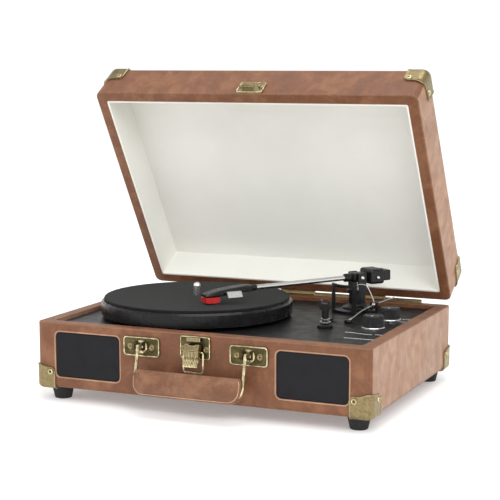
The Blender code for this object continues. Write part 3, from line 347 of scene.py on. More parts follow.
DARK_BROWN, MID_BROWN, LIGHT_TAN = (0.130, 0.047, 0.021), (0.205, 0.083, 0.037), (0.31, 0.150, 0.076)
BASE_LEATHER = leather("base_leatherette", DARK_BROWN, MID_BROWN, LIGHT_TAN)
LID_LEATHER = leather("lid_leatherette", DARK_BROWN, MID_BROWN, LIGHT_TAN, LID_OPEN)
GRIP_LEATHER = leather("grip_leather", (0.13, 0.052, 0.024), (0.20, 0.086, 0.043), (0.34, 0.185, 0.105),
                       case=False)
# Painted highlight: the lip leatherette is much paler than the case's, standing in for light on the rounded edge
# of each speaker opening.
LIP_HIGHLIGHT_LEATHER = leather("lip_leather_painted_highlight", (0.30, 0.15, 0.09), (0.41, 0.23, 0.14), (0.56, 0.37, 0.26), case=False)
THREAD = moulded("waxed_thread", (0.50, 0.33, 0.21), 3000.0, 0.02, 0.55, 0.7)
AGED_BRASS = aged_brass("antique_brass")
DARK_BRASS = dark_brass("dark_brass")
BRIGHT_BRASS = bright_brass("rubbed_brass")
BRIGHT_STEEL = steel("bright_steel")
SATIN_METAL = steel("satin_aluminium", 0.72, 0.16, 0.28)
DECK_BLACK = moulded("deck_black", (0.008, 0.008, 0.009), 1500.0, 0.05, 0.34, 0.46, 0.16)
PLASTIC_BLACK = moulded("black_plastic", (0.007, 0.007, 0.008), 2200.0, 0.02, 0.24, 0.4, 0.32)
PLATTER_BLACK = moulded("platter_black", (0.007, 0.007, 0.008), 1200.0, 0.02, 0.2, 0.32, 0.25)
RUBBER = moulded("rubber", (0.014, 0.014, 0.014), 900.0, 0.06, 0.62, 0.85)
RED_PLASTIC = moulded("red_plastic", (0.50, 0.018, 0.016), 1600.0, 0.01, 0.18, 0.3)
BOARD_GREEN = moulded("board_green", (0.03, 0.16, 0.07), 1200.0, 0.02, 0.4, 0.5)
PRINT_WHITE = moulded("white_print", (0.72, 0.73, 0.72), 1500.0, 0.01, 0.4, 0.5)
LINING = cream_lining("cream_lining")
GRILLE_CLOTH = woven("grille_cloth", (0.006, 0.006, 0.007), (0.030, 0.030, 0.033), 1.3 * MM, 0.25 * MM)
FELT = felt("black_felt", 0.010)

NODE_MATERIALS = {
    "base_shell": BASE_LEATHER, "lid_shell": LID_LEATHER, "lid_lining": LINING, "deck_plate": DECK_BLACK,
    "platter": PLATTER_BLACK, "platter_mat": FELT, "circuit_board": BOARD_GREEN, "cartridge": RED_PLASTIC,
    "handle_frame": BRIGHT_BRASS, "latch_bail": BRIGHT_BRASS, "handle_plate_left": DARK_BRASS,
    "handle_plate_right": DARK_BRASS, "latch_plate": DARK_BRASS,
}
SLOT_MATERIALS = {
    "antique_brass": AGED_BRASS, "steel": BRIGHT_STEEL, "aluminium": SATIN_METAL,
    "black_plastic": PLASTIC_BLACK, "rubber": RUBBER, "grille_mesh": GRILLE_CLOTH,
    "grip_leather": GRIP_LEATHER,
}


def paint_cad_nodes():
    """Gives every CAD node its material."""
    slots = {entry["node"]: entry["material_slot"] for entry in frame["record"]["subparts"]}
    for name, node in frame["nodes"].items():
        material = NODE_MATERIALS.get(name) or SLOT_MATERIALS[slots[name]]
        node.data.materials.clear()
        node.data.materials.append(material)
        node.data.shade_smooth()
        node.data.set_sharp_from_angle(angle=math.radians(35))


# ---------------------------------------------------------------- shape helpers

def rounded_rect(centre, half, radius, steps=6):
    """Points of a rectangle with round corners, anticlockwise."""
    points = []
    for turn, (sx, sy) in enumerate(((1, 1), (-1, 1), (-1, -1), (1, -1))):
        middle = (centre[0] + sx * (half[0] - radius), centre[1] + sy * (half[1] - radius))
        for step in range(steps + 1):
            angle = math.pi / 2 * (turn + step / steps)
            points.append((middle[0] + radius * math.cos(angle), middle[1] + radius * math.sin(angle)))
    return points


def loft(rings, closed=False):
    """A skin over rings of equally many points, capped or joined end to end."""
    shape = bmesh.new()
    rows = [[shape.verts.new(point) for point in ring] for ring in rings]
    count = len(rows[0])
    pairs = list(zip(rows, rows[1:]))
    if closed:
        pairs.append((rows[-1], rows[0]))
    else:
        shape.faces.new(rows[0][::-1])
        shape.faces.new(rows[-1])
    for low, high in pairs:
        for index in range(count):
            after = (index + 1) % count
            shape.faces.new((low[index], low[after], high[after], high[index]))
    bmesh.ops.recalc_face_normals(shape, faces=shape.faces)
    return shape


def turned(profile, centre, steps=64, ribs=0, rib_depth=0.0, rib_rows=()):
    """A solid turned about a vertical axis, whose chosen rows may carry ribs."""
    rings = []
    for row, (radius, height) in enumerate(profile):
        ring = []
        for step in range(steps):
            angle = 2 * math.pi * step / steps
            reach = radius
            if row in rib_rows:
                reach -= rib_depth * (0.5 + 0.5 * math.cos(ribs * angle))
            ring.append((centre[0] + reach * math.cos(angle), centre[1] + reach * math.sin(angle), height))
        rings.append(ring)
    return loft(rings)


def tube(path, radius, steps=12):
    """A round bar along a path of points."""
    points = [Vector(point) for point in path]
    rings = []
    side = None
    for index, point in enumerate(points):
        tangent = (points[min(index + 1, len(points) - 1)] - points[max(index - 1, 0)]).normalized()
        side = side or tangent.orthogonal().normalized()
        side = (side - side.dot(tangent) * tangent).normalized()
        across = tangent.cross(side)
        reach = radius(index / (len(points) - 1)) if callable(radius) else radius
        ring = []
        for step in range(steps):
            angle = 2 * math.pi * step / steps
            ring.append(point + reach * (math.cos(angle) * side + math.sin(angle) * across))
        rings.append(ring)
    return loft(rings)


def smooth_path(points, steps=6):
    """A Catmull-Rom curve through given points."""
    knots = [Vector(point) for point in points]
    knots = [2 * knots[0] - knots[1], *knots, 2 * knots[-1] - knots[-2]]
    path = []
    for index in range(1, len(knots) - 2):
        before, start, end, after = knots[index - 1:index + 3]
        for step in range(steps):
            t = step / steps
            path.append(0.5 * (2 * start + (end - before) * t
                               + (2 * before - 5 * start + 4 * end - after) * t ** 2
                               + (3 * start - before - 3 * end + after) * t ** 3))
    path.append(knots[-2])
    return path


def piece(name, shape, material, body, place=None, smooth_deg=40.0):
    """One visible piece, made from a shape and riding on a body."""
    if place:
        bmesh.ops.transform(shape, matrix=place, verts=shape.verts)
    mesh = bpy.data.meshes.new(name)
    shape.to_mesh(mesh)
    shape.free()
    mesh.materials.append(material)
    mesh.shade_smooth()
    mesh.set_sharp_from_angle(angle=math.radians(smooth_deg))
    made = bpy.data.objects.new(name, mesh)
    bpy.context.scene.collection.objects.link(made)
    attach(made, body)
    return made


def merge(*shapes):
    """Several shapes in one mesh."""
    whole = bmesh.new()
    for shape in shapes:
        mesh = bpy.data.meshes.new("part")
        shape.to_mesh(mesh)
        shape.free()
        whole.from_mesh(mesh)
        bpy.data.meshes.remove(mesh)
    return whole


def rim_ring(centre, half, radius, y, width, height, inwards=0.0):
    """A half-round bead that follows a rounded rectangle on a face that looks along -Y."""
    rings = []
    steps = 8
    for step in range(steps + 1):
        angle = math.pi * step / steps
        offset = -inwards - width / 2 - width / 2 * math.cos(angle)
        rise = height * math.sin(angle)
        outline = rounded_rect(centre, (half[0] + offset, half[1] + offset), max(radius + offset, 0.2 * MM))
        rings.append([(x, y - rise, z) for x, z in outline])
    return loft(rings, closed=True)


def resampled(outline, count):
    """Points evenly spaced along a closed outline, from its first point."""
    points = [Vector(point) for point in outline]
    lengths = [(points[(index + 1) % len(points)] - point).length for index, point in enumerate(points)]
    total = sum(lengths)
    result = []
    index = 0
    walked = 0.0
    for step in range(count):
        target = total * step / count
        while walked + lengths[index] < target:
            walked += lengths[index]
            index += 1
        share = (target - walked) / lengths[index] if lengths[index] else 0.0
        result.append(points[index].lerp(points[(index + 1) % len(points)], share))
    return result


def turned_front(profile, centre, y, steps=32):
    """A turned cap on a face that looks along -Y, from (radius, height) points and its middle."""
    rings = []
    for radius, height in profile:
        ring = []
        for step in range(steps):
            angle = 2 * math.pi * step / steps
            ring.append((centre[0] + radius * math.cos(angle), y - height,
                         centre[1] + radius * math.sin(angle)))
        rings.append(ring)
    return loft(rings)


def block(low, high, soft, segments=3):
    """A block between two corners with rounded edges."""
    outline = [(low[0], low[1]), (high[0], low[1]), (high[0], high[1]), (low[0], high[1])]
    shape = loft([[(x, y, z) for x, y in outline] for z in (low[2], high[2])])
    bmesh.ops.bevel(shape, geom=shape.edges[:], offset=soft, segments=segments, profile=0.5, affect="EDGES",
                    clamp_overlap=True)
    return shape


# ---------------------------------------------------------------- case

BRASS_X_LEG, BRASS_Y_LEG, BRASS_RIVET = 21.0 * MM, 24.5 * MM, 16.0 * MM
BRASS_HEIGHT, BRASS_TAB_HEIGHT = 22.8 * MM, 20.5 * MM
BRASS_FLANGE, BRASS_END_R = 6.2 * MM, 5.0 * MM
CASE_CORNER_R, CASE_EDGE_R = 7.0 * MM, 3.5 * MM
BRASS_IN, BRASS_OUT, BRASS_BEAD = 0.3 * MM, 1.5 * MM, 1.5 * MM


def guard_height(along, leg):
    """Height of a corner guard's free edge at a place along one of its legs."""
    straight = leg - BRASS_END_R
    if along >= straight:
        rounding = math.sqrt(max(BRASS_END_R ** 2 - (along - straight) ** 2, 0.0))
        return BRASS_TAB_HEIGHT - BRASS_END_R + rounding
    fall = (1.0 - math.cos(math.pi * along / straight)) / 2
    return BRASS_HEIGHT + fall * (BRASS_TAB_HEIGHT - BRASS_HEIGHT)


def guard_stations():
    """Places along a guard, from one leg's end round the case's corner to the other's."""
    stations = []
    half_w, half_d = CASE_W / 2, CASE_D / 2
    for leg, flip in ((BRASS_X_LEG, False), (BRASS_Y_LEG, True)):
        side = []
        count = 15
        for step in range(count + 1):
            share = math.sin(math.pi / 2 * step / count)
            along = leg + (CASE_CORNER_R - leg) * (1 - share)
            edge = min((leg - along) / BRASS_BEAD, 1.0)
            height = guard_height(along, leg)
            if flip:
                side.append((half_w, half_d - along, (1.0, 0.0), height, edge))
            else:
                side.append((half_w - along, half_d, (0.0, 1.0), height, edge))
        stations += side if flip else side[::-1]
        if not flip:
            steps = 12
            for step in range(1, steps):
                angle = math.pi / 2 * (1 - step / steps)
                normal = (math.cos(angle), math.sin(angle))
                share = abs(2 * step / steps - 1)
                height = guard_height(CASE_CORNER_R * share * 0.6, BRASS_X_LEG)
                x = half_w - CASE_CORNER_R + CASE_CORNER_R * normal[0]
                y = half_d - CASE_CORNER_R + CASE_CORNER_R * normal[1]
                stations.append((x, y, normal, height, 1.0))
    return stations


RIVET_HEAD = [(2.9, -0.4), (2.95, 0.2), (2.8, 0.7), (2.4, 1.1), (2.0, 1.25), (1.6, 1.15), (1.35, 0.7),
              (0.3, 0.6)]
RIVET_SOCKET = [(1.3, 0.4), (1.3, 0.72), (0.9, 0.9), (0.2, 0.95)]


def make_guard(name, x_side, y_side, z_panel, inwards, body, place=None):
    """A pressed brass corner guard with raised edges and a domed rivet on each leg."""
    rings = []
    for x, y, normal, height, edge in guard_stations():
        lift = 0.5 * MM * math.sin(math.pi * min(edge, 1.0)) if edge < 1.0 else 0.0
        outer = [(-BRASS_FLANGE, -BRASS_OUT - lift)]
        inner = [(-BRASS_FLANGE, -BRASS_IN)]
        for step in range(9):
            angle = math.pi / 2 * step / 8
            for stretch, grow in ((outer, BRASS_OUT + lift), (inner, BRASS_IN)):
                reach = CASE_EDGE_R + grow
                stretch.append((-CASE_EDGE_R + reach * math.sin(angle),
                                CASE_EDGE_R - reach * math.cos(angle)))
        for step in range(1, 5):
            outer.append((BRASS_OUT + lift, CASE_EDGE_R + (height - BRASS_BEAD - CASE_EDGE_R) * step / 4))
        for step in range(1, 6):
            angle = math.pi * step / 6
            bead = max(lift, 0.5 * MM * math.sin(angle))
            outer.append((BRASS_OUT + bead, height - BRASS_BEAD * (1 - step / 5)))
        inner.append((BRASS_IN, height))
        ring = []
        for out, up in outer + inner[::-1]:
            ring.append((x_side * (x + out * normal[0]), MIDDLE_Y + y_side * (y + out * normal[1]),
                         z_panel + inwards * up))
        rings.append(ring)
    shape = loft(rings)
    rivet_z = z_panel + inwards * BRASS_RIVET
    heads = []
    sockets = []
    for along_x in (True, False):
        for profile, made in ((RIVET_HEAD, heads), (RIVET_SOCKET, sockets)):
            rings = []
            for radius, height in profile:
                ring = []
                for step in range(24):
                    angle = 2 * math.pi * step / 24
                    u = radius * MM * math.cos(angle)
                    z = rivet_z + radius * MM * math.sin(angle)
                    out = BRASS_OUT + height * MM
                    if along_x:
                        x = x_side * (CASE_W / 2 - BRASS_RIVET) + u
                        ring.append((x, MIDDLE_Y + y_side * (CASE_D / 2 + out), z))
                    else:
                        y = MIDDLE_Y + y_side * (CASE_D / 2 - BRASS_RIVET) + u
                        ring.append((x_side * (CASE_W / 2 + out), y, z))
                rings.append(ring)
            made.append(loft(rings))
    made = piece(f"{name}_pressed", shape, AGED_BRASS, body, place)
    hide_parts(name)
    piece(f"{name}_rivets", merge(*heads), BRIGHT_BRASS, body, place)
    piece(f"{name}_rivet_centres", merge(*sockets), DARK_BRASS, body, place)


def make_guards():
    """All eight corner guards."""
    for x_side, x_word in ((-1, "left"), (1, "right")):
        for y_side, y_word in ((-1, "front"), (1, "rear")):
            make_guard(f"base_corner_{y_word}_{x_word}", x_side, y_side, BASE_LOW.z, 1.0, "case")
            make_guard(f"lid_corner_{y_word}_{x_word}", x_side, y_side, LID_TOP, -1.0, "lid", CLOSED_TO_OPEN)


def make_grille_lips():
    """The lip of leatherette that folds round each speaker opening, painted pale as a painted highlight on its
    rounded edge.
    """
    for word in ("left", "right"):
        low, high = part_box(f"speaker_grille_{word}")
        centre = ((low[0] + high[0]) / 2, (low[2] + high[2]) / 2)
        half = ((high[0] - low[0]) / 2 + 1.7 * MM, (high[2] - low[2]) / 2 + 1.7 * MM)
        ring = rim_ring(centre, half, 6.4 * MM, FRONT_Y + 0.05 * MM, 1.3 * MM, 0.5 * MM)
        piece(f"grille_lip_{word}", ring, LIP_HIGHLIGHT_LEATHER, "case")


def make_deck_marks():
    """Plain white dashes where the printed legends are, without any writing."""
    random.seed(11)
    rows = ((118.0, 131.0, -41.0, -43.0), (133.0, 147.0, -44.0, -45.5), (149.0, 157.0, -43.0, -43.5),
            (127.0, 155.0, -69.0, -69.0), (148.0, 157.0, 46.0, 46.0), (150.0, 157.0, 32.0, 32.0),
            (72.0, 84.0, 14.0, 17.0))
    dashes = []
    for start, end, y_start, y_end in rows:
        x = start
        while x < end:
            width = random.uniform(1.2, 3.0)
            y = y_start + (y_end - y_start) * (x - start) / (end - start) + MIDDLE_Y / MM
            low = (x * MM, (y - 0.7) * MM, DECK_TOP + 0.03 * MM)
            high = ((x + width) * MM, (y + 0.7) * MM, DECK_TOP + 0.12 * MM)
            dashes.append(block(low, high, 0.03 * MM, 1))
            x += width + random.uniform(0.5, 0.9)
    piece("deck_marks", merge(*dashes), PRINT_WHITE, "case")


# ---------------------------------------------------------------- handle

GRIP_HALF, GRIP_TOP, GRIP_BOTTOM = 56.0 * MM, -21.5 * MM, -46.0 * MM
GRIP_POINTS = 240


def grip_outline(inset):
    """The grip's outline moved inwards: tight upper corners and wide lower ones."""
    outline = []
    half_height = (GRIP_TOP - GRIP_BOTTOM) / 2
    for sx, sz, turn, radius in ((1, 1, 0, 5.0 * MM), (-1, 1, 1, 5.0 * MM), (-1, -1, 2, 15.0 * MM),
                                 (1, -1, 3, 15.0 * MM)):
        reach = min(max(radius - inset, 0.4 * MM), half_height - inset)
        x = sx * (GRIP_HALF - inset - reach)
        z = (GRIP_TOP - inset - reach) if sz > 0 else (GRIP_BOTTOM + inset + reach)
        for step in range(9):
            angle = math.pi / 2 * (turn + step / 8)
            outline.append((x + reach * math.cos(angle), z + reach * math.sin(angle)))
    return resampled([(x, z) for x, z in outline], GRIP_POINTS)


def grip_layer(profile, lumps):
    """One leather layer from (inset, forward) points, with gentle unevenness."""
    rings = []
    for inset, forward in profile:
        ring = []
        for point in grip_outline(inset * MM):
            spot = Vector((point.x, 0.0, point.y)) * 55.0
            swell = lumps * MM * noise.noise(spot) * min(inset / 4.0, 1.0)
            ring.append((point.x, HANDLE.y - forward * MM - swell, HANDLE.z + point.y))
        rings.append(ring)
    return loft(rings)


def make_grip():
    """The padded leather grip: a crowned front, a thin back and the fold below the wire."""
    front = grip_layer(((4.0, 2.2), (0.6, 2.2), (0.0, 2.8), (0.0, 4.0), (0.4, 4.9), (1.0, 5.4), (1.5, 5.5),
                        (2.0, 5.9), (3.0, 7.4), (4.2, 8.8), (5.6, 9.9), (7.2, 10.7), (9.0, 11.2),
                        (10.6, 11.5), (11.8, 11.6)), 0.9)
    back = grip_layer(((4.0, -2.2), (0.5, -2.2), (0.0, -2.7), (0.2, -3.3), (1.2, -3.8), (3.0, -3.7),
                       (4.0, -4.1), (7.0, -4.6), (11.8, -4.8)), 0.4)
    fold_half = GRIP_HALF - 15.5 * MM
    rings = []
    for step in range(41):
        x = -fold_half + 2 * fold_half * step / 40
        ring = []
        for turn in range(16):
            angle = 2 * math.pi * turn / 16
            ring.append((x, HANDLE.y - 0.4 * MM - 3.6 * MM * math.cos(angle),
                         HANDLE.z + GRIP_BOTTOM + 0.95 * MM + 0.9 * MM * math.sin(angle)))
        rings.append(ring)
    grip = piece("handle_grip_leather", merge(front, back, loft(rings)), GRIP_LEATHER, "handle",
                 HANDLE_PLACE)
    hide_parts("handle_grip")
    outline = grip_outline(1.5 * MM)
    stitches = []
    count = 100
    for number in range(count):
        index = number * GRIP_POINTS / count
        start = outline[int(index) % GRIP_POINTS]
        end = outline[int(index + 0.66 * GRIP_POINTS / count + 1) % GRIP_POINTS]
        if start.y > GRIP_TOP - 4.0 * MM:
            continue
        path = []
        for share, rise in ((0.0, 5.2), (0.25, 5.75), (0.5, 5.9), (0.75, 5.75), (1.0, 5.2)):
            point = start.lerp(end, share)
            path.append((point.x, HANDLE.y - rise * MM, HANDLE.z + point.y))
        stitches.append(tube(path, 0.3 * MM, 6))
    piece("handle_grip_stitching", merge(*stitches), THREAD, "handle", HANDLE_PLACE)


def make_handle_wire():
    """The bent wire frame with its pivot ends."""
    drop, bend, radius = 42.5 * MM, 13.0 * MM, 1.7 * MM
    low = HANDLE.z - drop
    path = [(-HANDLE_X, HANDLE.z), (-HANDLE_X, HANDLE.z - drop / 3), (-HANDLE_X, low + bend + 4 * MM)]
    for centre, start in ((-HANDLE_X + bend, math.pi), (HANDLE_X - bend, 1.5 * math.pi)):
        for step in range(15):
            angle = start + math.pi / 2 * step / 14
            path.append((centre + bend * math.cos(angle), low + bend + bend * math.sin(angle)))
    path += [(HANDLE_X, low + bend + 4 * MM), (HANDLE_X, HANDLE.z - drop / 3), (HANDLE_X, HANDLE.z)]
    shapes = [tube([(x, HANDLE.y, z) for x, z in path], radius, 20)]
    for side in (-1, 1):
        ends = [(side * HANDLE_X + reach * MM, HANDLE.y, HANDLE.z) for reach in (-5.4, -4.9, 4.9, 5.4)]
        shapes.append(tube(ends, lambda share: radius * (0.75 if share in (0.0, 1.0) else 1.0), 20))
        eye = [(side * HANDLE_X, HANDLE.y, HANDLE.z + lift * MM) for lift in (-4.0, -1.0, 1.4, 2.2)]
        shapes.append(tube(eye, lambda share: radius * (1.25, 1.5, 1.5, 0.9)[round(share * 3)], 20))
    wire = piece("handle_wire", merge(*shapes), BRIGHT_BRASS, "handle", HANDLE_PLACE)
    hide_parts("handle_frame")


SCREW_CAP = [(3.3, 0.0), (3.35, 0.5), (3.0, 1.1), (2.3, 1.45), (1.7, 1.35), (1.5, 1.15), (0.3, 1.12)]


def make_plate_edges():
    """Raised bright edges, screw heads and the pivot boss on the handle and latch plates."""
    for word, side in (("left", -1), ("right", 1)):
        centre = (HANDLE_MIDDLE + side * HANDLE_X, HANDLE.z - 1.2 * MM)
        ring = rim_ring(centre, (19.4 * MM, 9.5 * MM), 3.5 * MM, PLATE_FACE + 0.1 * MM, 1.5 * MM, 0.7 * MM)
        boss = turned_front([(6.6 * MM, -0.1 * MM), (6.5 * MM, 0.5 * MM), (5.6 * MM, 1.1 * MM),
                             (4.4 * MM, 1.4 * MM), (1.0 * MM, 1.5 * MM)], centre, PLATE_FACE)
        piece(f"handle_plate_edge_{word}", merge(ring, boss), BRIGHT_BRASS, "case")
        make_screws(f"handle_plate_screws_{word}", centre, 11.5 * MM)
    centre = (0.0, LEVER_PIN.z - 0.7 * MM)
    ring = rim_ring(centre, (15.7 * MM, 11.0 * MM), 2.5 * MM, PLATE_FACE + 0.1 * MM, 1.4 * MM, 0.6 * MM)
    piece("latch_plate_edge", ring, BRIGHT_BRASS, "case")
    make_screws("latch_plate_screws", (0.0, LEVER_PIN.z - 2.0 * MM), 11.8 * MM)
    low = (-6.9 * MM, PLATE_FACE - 3.6 * MM, LEVER_PIN.z + 5.9 * MM)
    high = (6.9 * MM, PLATE_FACE - 3.3 * MM, LEVER_PIN.z + 9.3 * MM)
    tab = block(low, high, 0.12 * MM, 2)
    piece("latch_tab_face", tab, AGED_BRASS, "case")
    keeper_low, keeper_high = 0.8 * MM, 18.4 * MM
    middle = (0.0, HINGE.z + (keeper_low + keeper_high) / 2)
    half = (14.3 * MM, (keeper_high - keeper_low) / 2)
    ring = rim_ring(middle, half, 2.5 * MM, PLATE_FACE + 0.1 * MM, 1.4 * MM, 0.6 * MM)
    piece("latch_keeper_edge", ring, BRIGHT_BRASS, "lid", CLOSED_TO_OPEN)
    screw_spot = (0.0, HINGE.z + keeper_low + 10.4 * MM)
    make_screws("latch_keeper_screws", screw_spot, 10.4 * MM, "lid", CLOSED_TO_OPEN)


def make_screws(name, centre, spread, body="case", place=None):
    """A pair of ring-like screw heads with cross recesses."""
    heads = []
    slots = []
    for side in (-1, 1):
        spot = (centre[0] + side * spread, centre[1])
        profile = [(radius * MM, height * MM) for radius, height in SCREW_CAP]
        heads.append(turned_front(profile, spot, PLATE_FACE, 28))
        for half_x, half_z in ((1.25, 0.3), (0.3, 1.25)):
            low = (spot[0] - half_x * MM, PLATE_FACE - 1.24 * MM, spot[1] - half_z * MM)
            high = (spot[0] + half_x * MM, PLATE_FACE - 0.9 * MM, spot[1] + half_z * MM)
            slots.append(block(low, high, 0.05 * MM, 1))
    piece(name, merge(*heads), AGED_BRASS, body, place)
    piece(f"{name}_recess", merge(*slots), DARK_BRASS, body, place)


# ---------------------------------------------------------------- latch

def make_lever():
    """The pressed latch lever: side cheeks, three slots and a fluted lip.

    Its top edge is lower in the middle, where it swings past the knuckle on the plate.
    """
    half, cheek, sheet_t = 7.6, 6.3, 1.1
    slots, slot_half, knuckle_half = (-3.6, 0.0, 3.6), 0.75, 3.5
    front = [(3.4, 3.4), (4.6, 1.6), (5.2, -0.6), (5.35, -1.8), (4.7, -2.2), (5.45, -2.7), (5.4, -4.6),
             (5.2, -6.4), (5.0, -8.0), (4.9, -9.2), (4.3, -9.7), (4.5, -10.4), (5.2, -11.8), (6.6, -13.6),
             (8.2, -15.4), (8.8, -17.0)]
    rings = []
    count = 120
    for step in range(count + 1):
        x = -half + 2 * half * step / count
        rim = min(half - abs(x), 0.8) / 0.8
        fall = 0.5 * (1 - math.sqrt(1 - (1 - rim) ** 2))
        ring_front = []
        ring_back = []
        for number, (out, up) in enumerate(front):
            depth = fall
            over_knuckle = number == 0 and abs(x) < knuckle_half
            if over_knuckle:
                out, up = 4.3, 2.7
            if number >= 11:
                depth += 0.5 * abs(math.sin(math.pi * x / 1.7))
            elif 6 <= number <= 9 and min(abs(x - place) for place in slots) < slot_half:
                depth += 0.8
            ring_front.append((out - depth, up))
            if abs(x) > cheek and number <= 9:
                ring_back.append((-1.6 if number < 6 else 0.6, up if up < 3.0 else 2.9))
            elif over_knuckle:
                ring_back.append((out - 0.6, up - 0.2))
            else:
                ring_back.append((out - depth - sheet_t, up + (0.3 if number < 11 else 0.7)))
        ring = ring_front + ring_back[::-1]
        rings.append([(x * MM, LEVER_PIN.y - out * MM, LEVER_PIN.z + up * MM) for out, up in ring])
    lever = piece("latch_lever_pressed", loft(rings), AGED_BRASS, "lever", smooth_deg=50.0)
    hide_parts("latch_lever")


def make_bail():
    """The thin wire loop that pulls the lid down."""
    length, reach, radius, bend, elbow = 19.6, 10.2, 1.0, 2.6, 1.6
    path = [(-4.2, 0.0), (-reach + elbow, 0.0)]
    for centre, size, start, steps in (((-reach + elbow, -elbow), elbow, 90.0, 6),
                                       ((-reach + bend, -length + bend), bend, 180.0, 8)):
        for step in range(steps + 1):
            angle = math.radians(start + 90.0 * step / steps)
            path.append((centre[0] + size * math.cos(angle), centre[1] + size * math.sin(angle)))
    path += [(-x, z) for x, z in path[::-1]]
    wire = tube([(x * MM, BAIL_PIN.y, BAIL_PIN.z + z * MM) for x, z in path], radius * MM, 16)
    bail = piece("latch_bail_wire", wire, BRIGHT_BRASS, "bail")
    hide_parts("latch_bail")


# ---------------------------------------------------------------- deck and tonearm

def make_knobs():
    """Fluted knobs with a domed top and a white pointer."""
    for word in ("volume", "mode"):
        low, high = (Vector(corner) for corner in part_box(f"{word}_knob"))
        centre = ((low.x + high.x) / 2, (low.y + high.y) / 2)
        skirt_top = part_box(f"{word}_knob_skirt")[1][2]
        radius = (high.x - low.x) / 2
        bottom = skirt_top + GAP
        profile = [(radius - 0.6 * MM, bottom), (radius, bottom + 0.4 * MM), (radius, bottom + 0.6 * MM),
                   (radius - 0.25 * MM, high.z - 2.2 * MM), (radius - 0.5 * MM, high.z - 1.2 * MM),
                   (radius - 1.3 * MM, high.z - 0.35 * MM), (radius - 2.2 * MM, high.z),
                   (radius - 3.0 * MM, high.z - 0.1 * MM), (radius - 3.4 * MM, high.z - 0.5 * MM)]
        knob = turned(profile, centre, 192, 32, 0.7 * MM, (2, 3, 4))
        shaft = turned([(3.0 * MM, low.z), (3.0 * MM, bottom + 0.2 * MM)], centre, 24)
        made = piece(f"{word}_knob_cap", merge(knob, shaft), PLASTIC_BLACK, word)
        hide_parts(f"{word}_knob")
        line = rounded_rect((centre[0], centre[1] - radius * 0.45), (0.45 * MM, radius * 0.3), 0.4 * MM)
        top = high.z - 0.5 * MM
        pointer = loft([[(x, y, z) for x, y in line] for z in (top - 0.1 * MM, top + 0.12 * MM)])
        piece(f"{word}_knob_pointer", pointer, PRINT_WHITE, word)


def along_arm(shape):
    """A shape drawn about the arm's pivot in millimetres, with +X along the arm, put in its place."""
    bmesh.ops.transform(shape, matrix=ARM_PLACE @ Matrix.Scale(MM, 4), verts=shape.verts)
    return shape


def arm_turning(profile, steps=32):
    """A solid turned about the arm tube's axis, from (place along the arm, radius) points."""
    rings = []
    for x, radius in profile:
        angles = [2 * math.pi * step / steps for step in range(steps)]
        rings.append([(x, radius * math.cos(angle), radius * math.sin(angle)) for angle in angles])
    return loft(rings)


def make_tonearm():
    """The bright tube, its black pivot block and collar, and the screws on the gimbal."""
    slope = [(16.0, 0.0, 0.0), (60.0, 0.0, -0.79), (100.0, 0.0, -1.51), (127.0, 0.0, -2.0)]
    tube_front = tube(slope, 2.6, 32)
    tube_rear = arm_turning(((-36.6, 2.2), (-36.2, 2.6), (-20.0, 2.6), (-7.6, 2.6)))
    metal = piece("arm_tube_bright", merge(along_arm(tube_front), along_arm(tube_rear)), SATIN_METAL,
                  "tonearm")
    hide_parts("arm_tube")
    collar = arm_turning(((7.8, 3.9), (8.4, 4.3), (10.4, 4.3), (10.7, 3.9), (11.3, 3.9), (11.6, 4.3),
                          (15.6, 4.3), (16.5, 3.5), (16.5, 2.0)))
    pivot = block((-8.0, -6.4, -4.6), (8.0, 6.4, 4.6), 1.2)
    cuff = tube([(121.0, 0.0, -1.9), (121.8, 0.0, -1.91), (126.2, 0.0, -1.98), (126.9, 0.0, -2.0)],
                lambda share: (2.7, 3.3, 3.3, 2.7)[round(share * 3)], 32)
    piece("arm_pivot_block", merge(along_arm(collar), along_arm(pivot), along_arm(cuff)), PLASTIC_BLACK,
          "tonearm")
    screws = []
    for side in (-1, 1):
        rings = []
        for radius, out in ((2.0, 10.2), (2.0, 10.9), (1.5, 11.3), (0.3, 11.35)):
            angles = [2 * math.pi * step / 20 for step in range(20)]
            rings.append([(radius * math.cos(angle), side * out, radius * math.sin(angle))
                          for angle in angles])
        screws.append(along_arm(loft(rings)))
    piece("gimbal_screws", merge(*screws), BRIGHT_STEEL, "arm_yoke")
    rings = []
    for radius, out in ((1.7, 12.6), (1.7, 13.0), (1.2, 13.3), (0.3, 13.35)):
        angles = [2 * math.pi * step / 20 for step in range(20)]
        rings.append([(-18.0 + radius * math.cos(angle), out, radius * math.sin(angle) - 0.6)
                      for angle in angles])
    piece("counterweight_screw", along_arm(loft(rings)), BRIGHT_STEEL, "tonearm")


def make_rest_rings():
    """Bright rings round the foot of the arm rest."""
    low, high = (Vector(corner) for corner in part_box("arm_rest"))
    centre = ((low.x + high.x) / 2, (low.y + high.y) / 2)
    rings = []
    for bottom, radius in ((4.6, 5.6), (7.6, 4.6)):
        profile = [(radius - 0.6, bottom), (radius, bottom + 0.3), (radius, bottom + 1.5),
                   (radius - 0.6, bottom + 1.8)]
        rings.append(turned([(reach * MM, DECK_TOP + height * MM) for reach, height in profile], centre, 40))
    piece("arm_rest_rings", merge(*rings), BRIGHT_STEEL, "case")


def make_guide_wire():
    """The thin bright wire that rises from the cue bracket and hooks over beside the gimbal."""
    points = ((112.0, 62.0, 6.0), (111.8, 62.0, 13.0), (109.6, 62.0, 18.8), (106.3, 62.0, 25.6),
              (104.0, 62.0, 29.2), (100.5, 62.0, 30.2), (96.4, 62.0, 30.2), (94.5, 62.0, 28.8),
              (94.2, 62.0, 24.2))
    path = smooth_path([(x * MM, y * MM + MIDDLE_Y, z * MM + DECK_TOP) for x, y, z in points])
    piece("cue_guide_wire", tube(path, 0.6 * MM, 10), BRIGHT_STEEL, "case")


# ---------------------------------------------------------------- studio

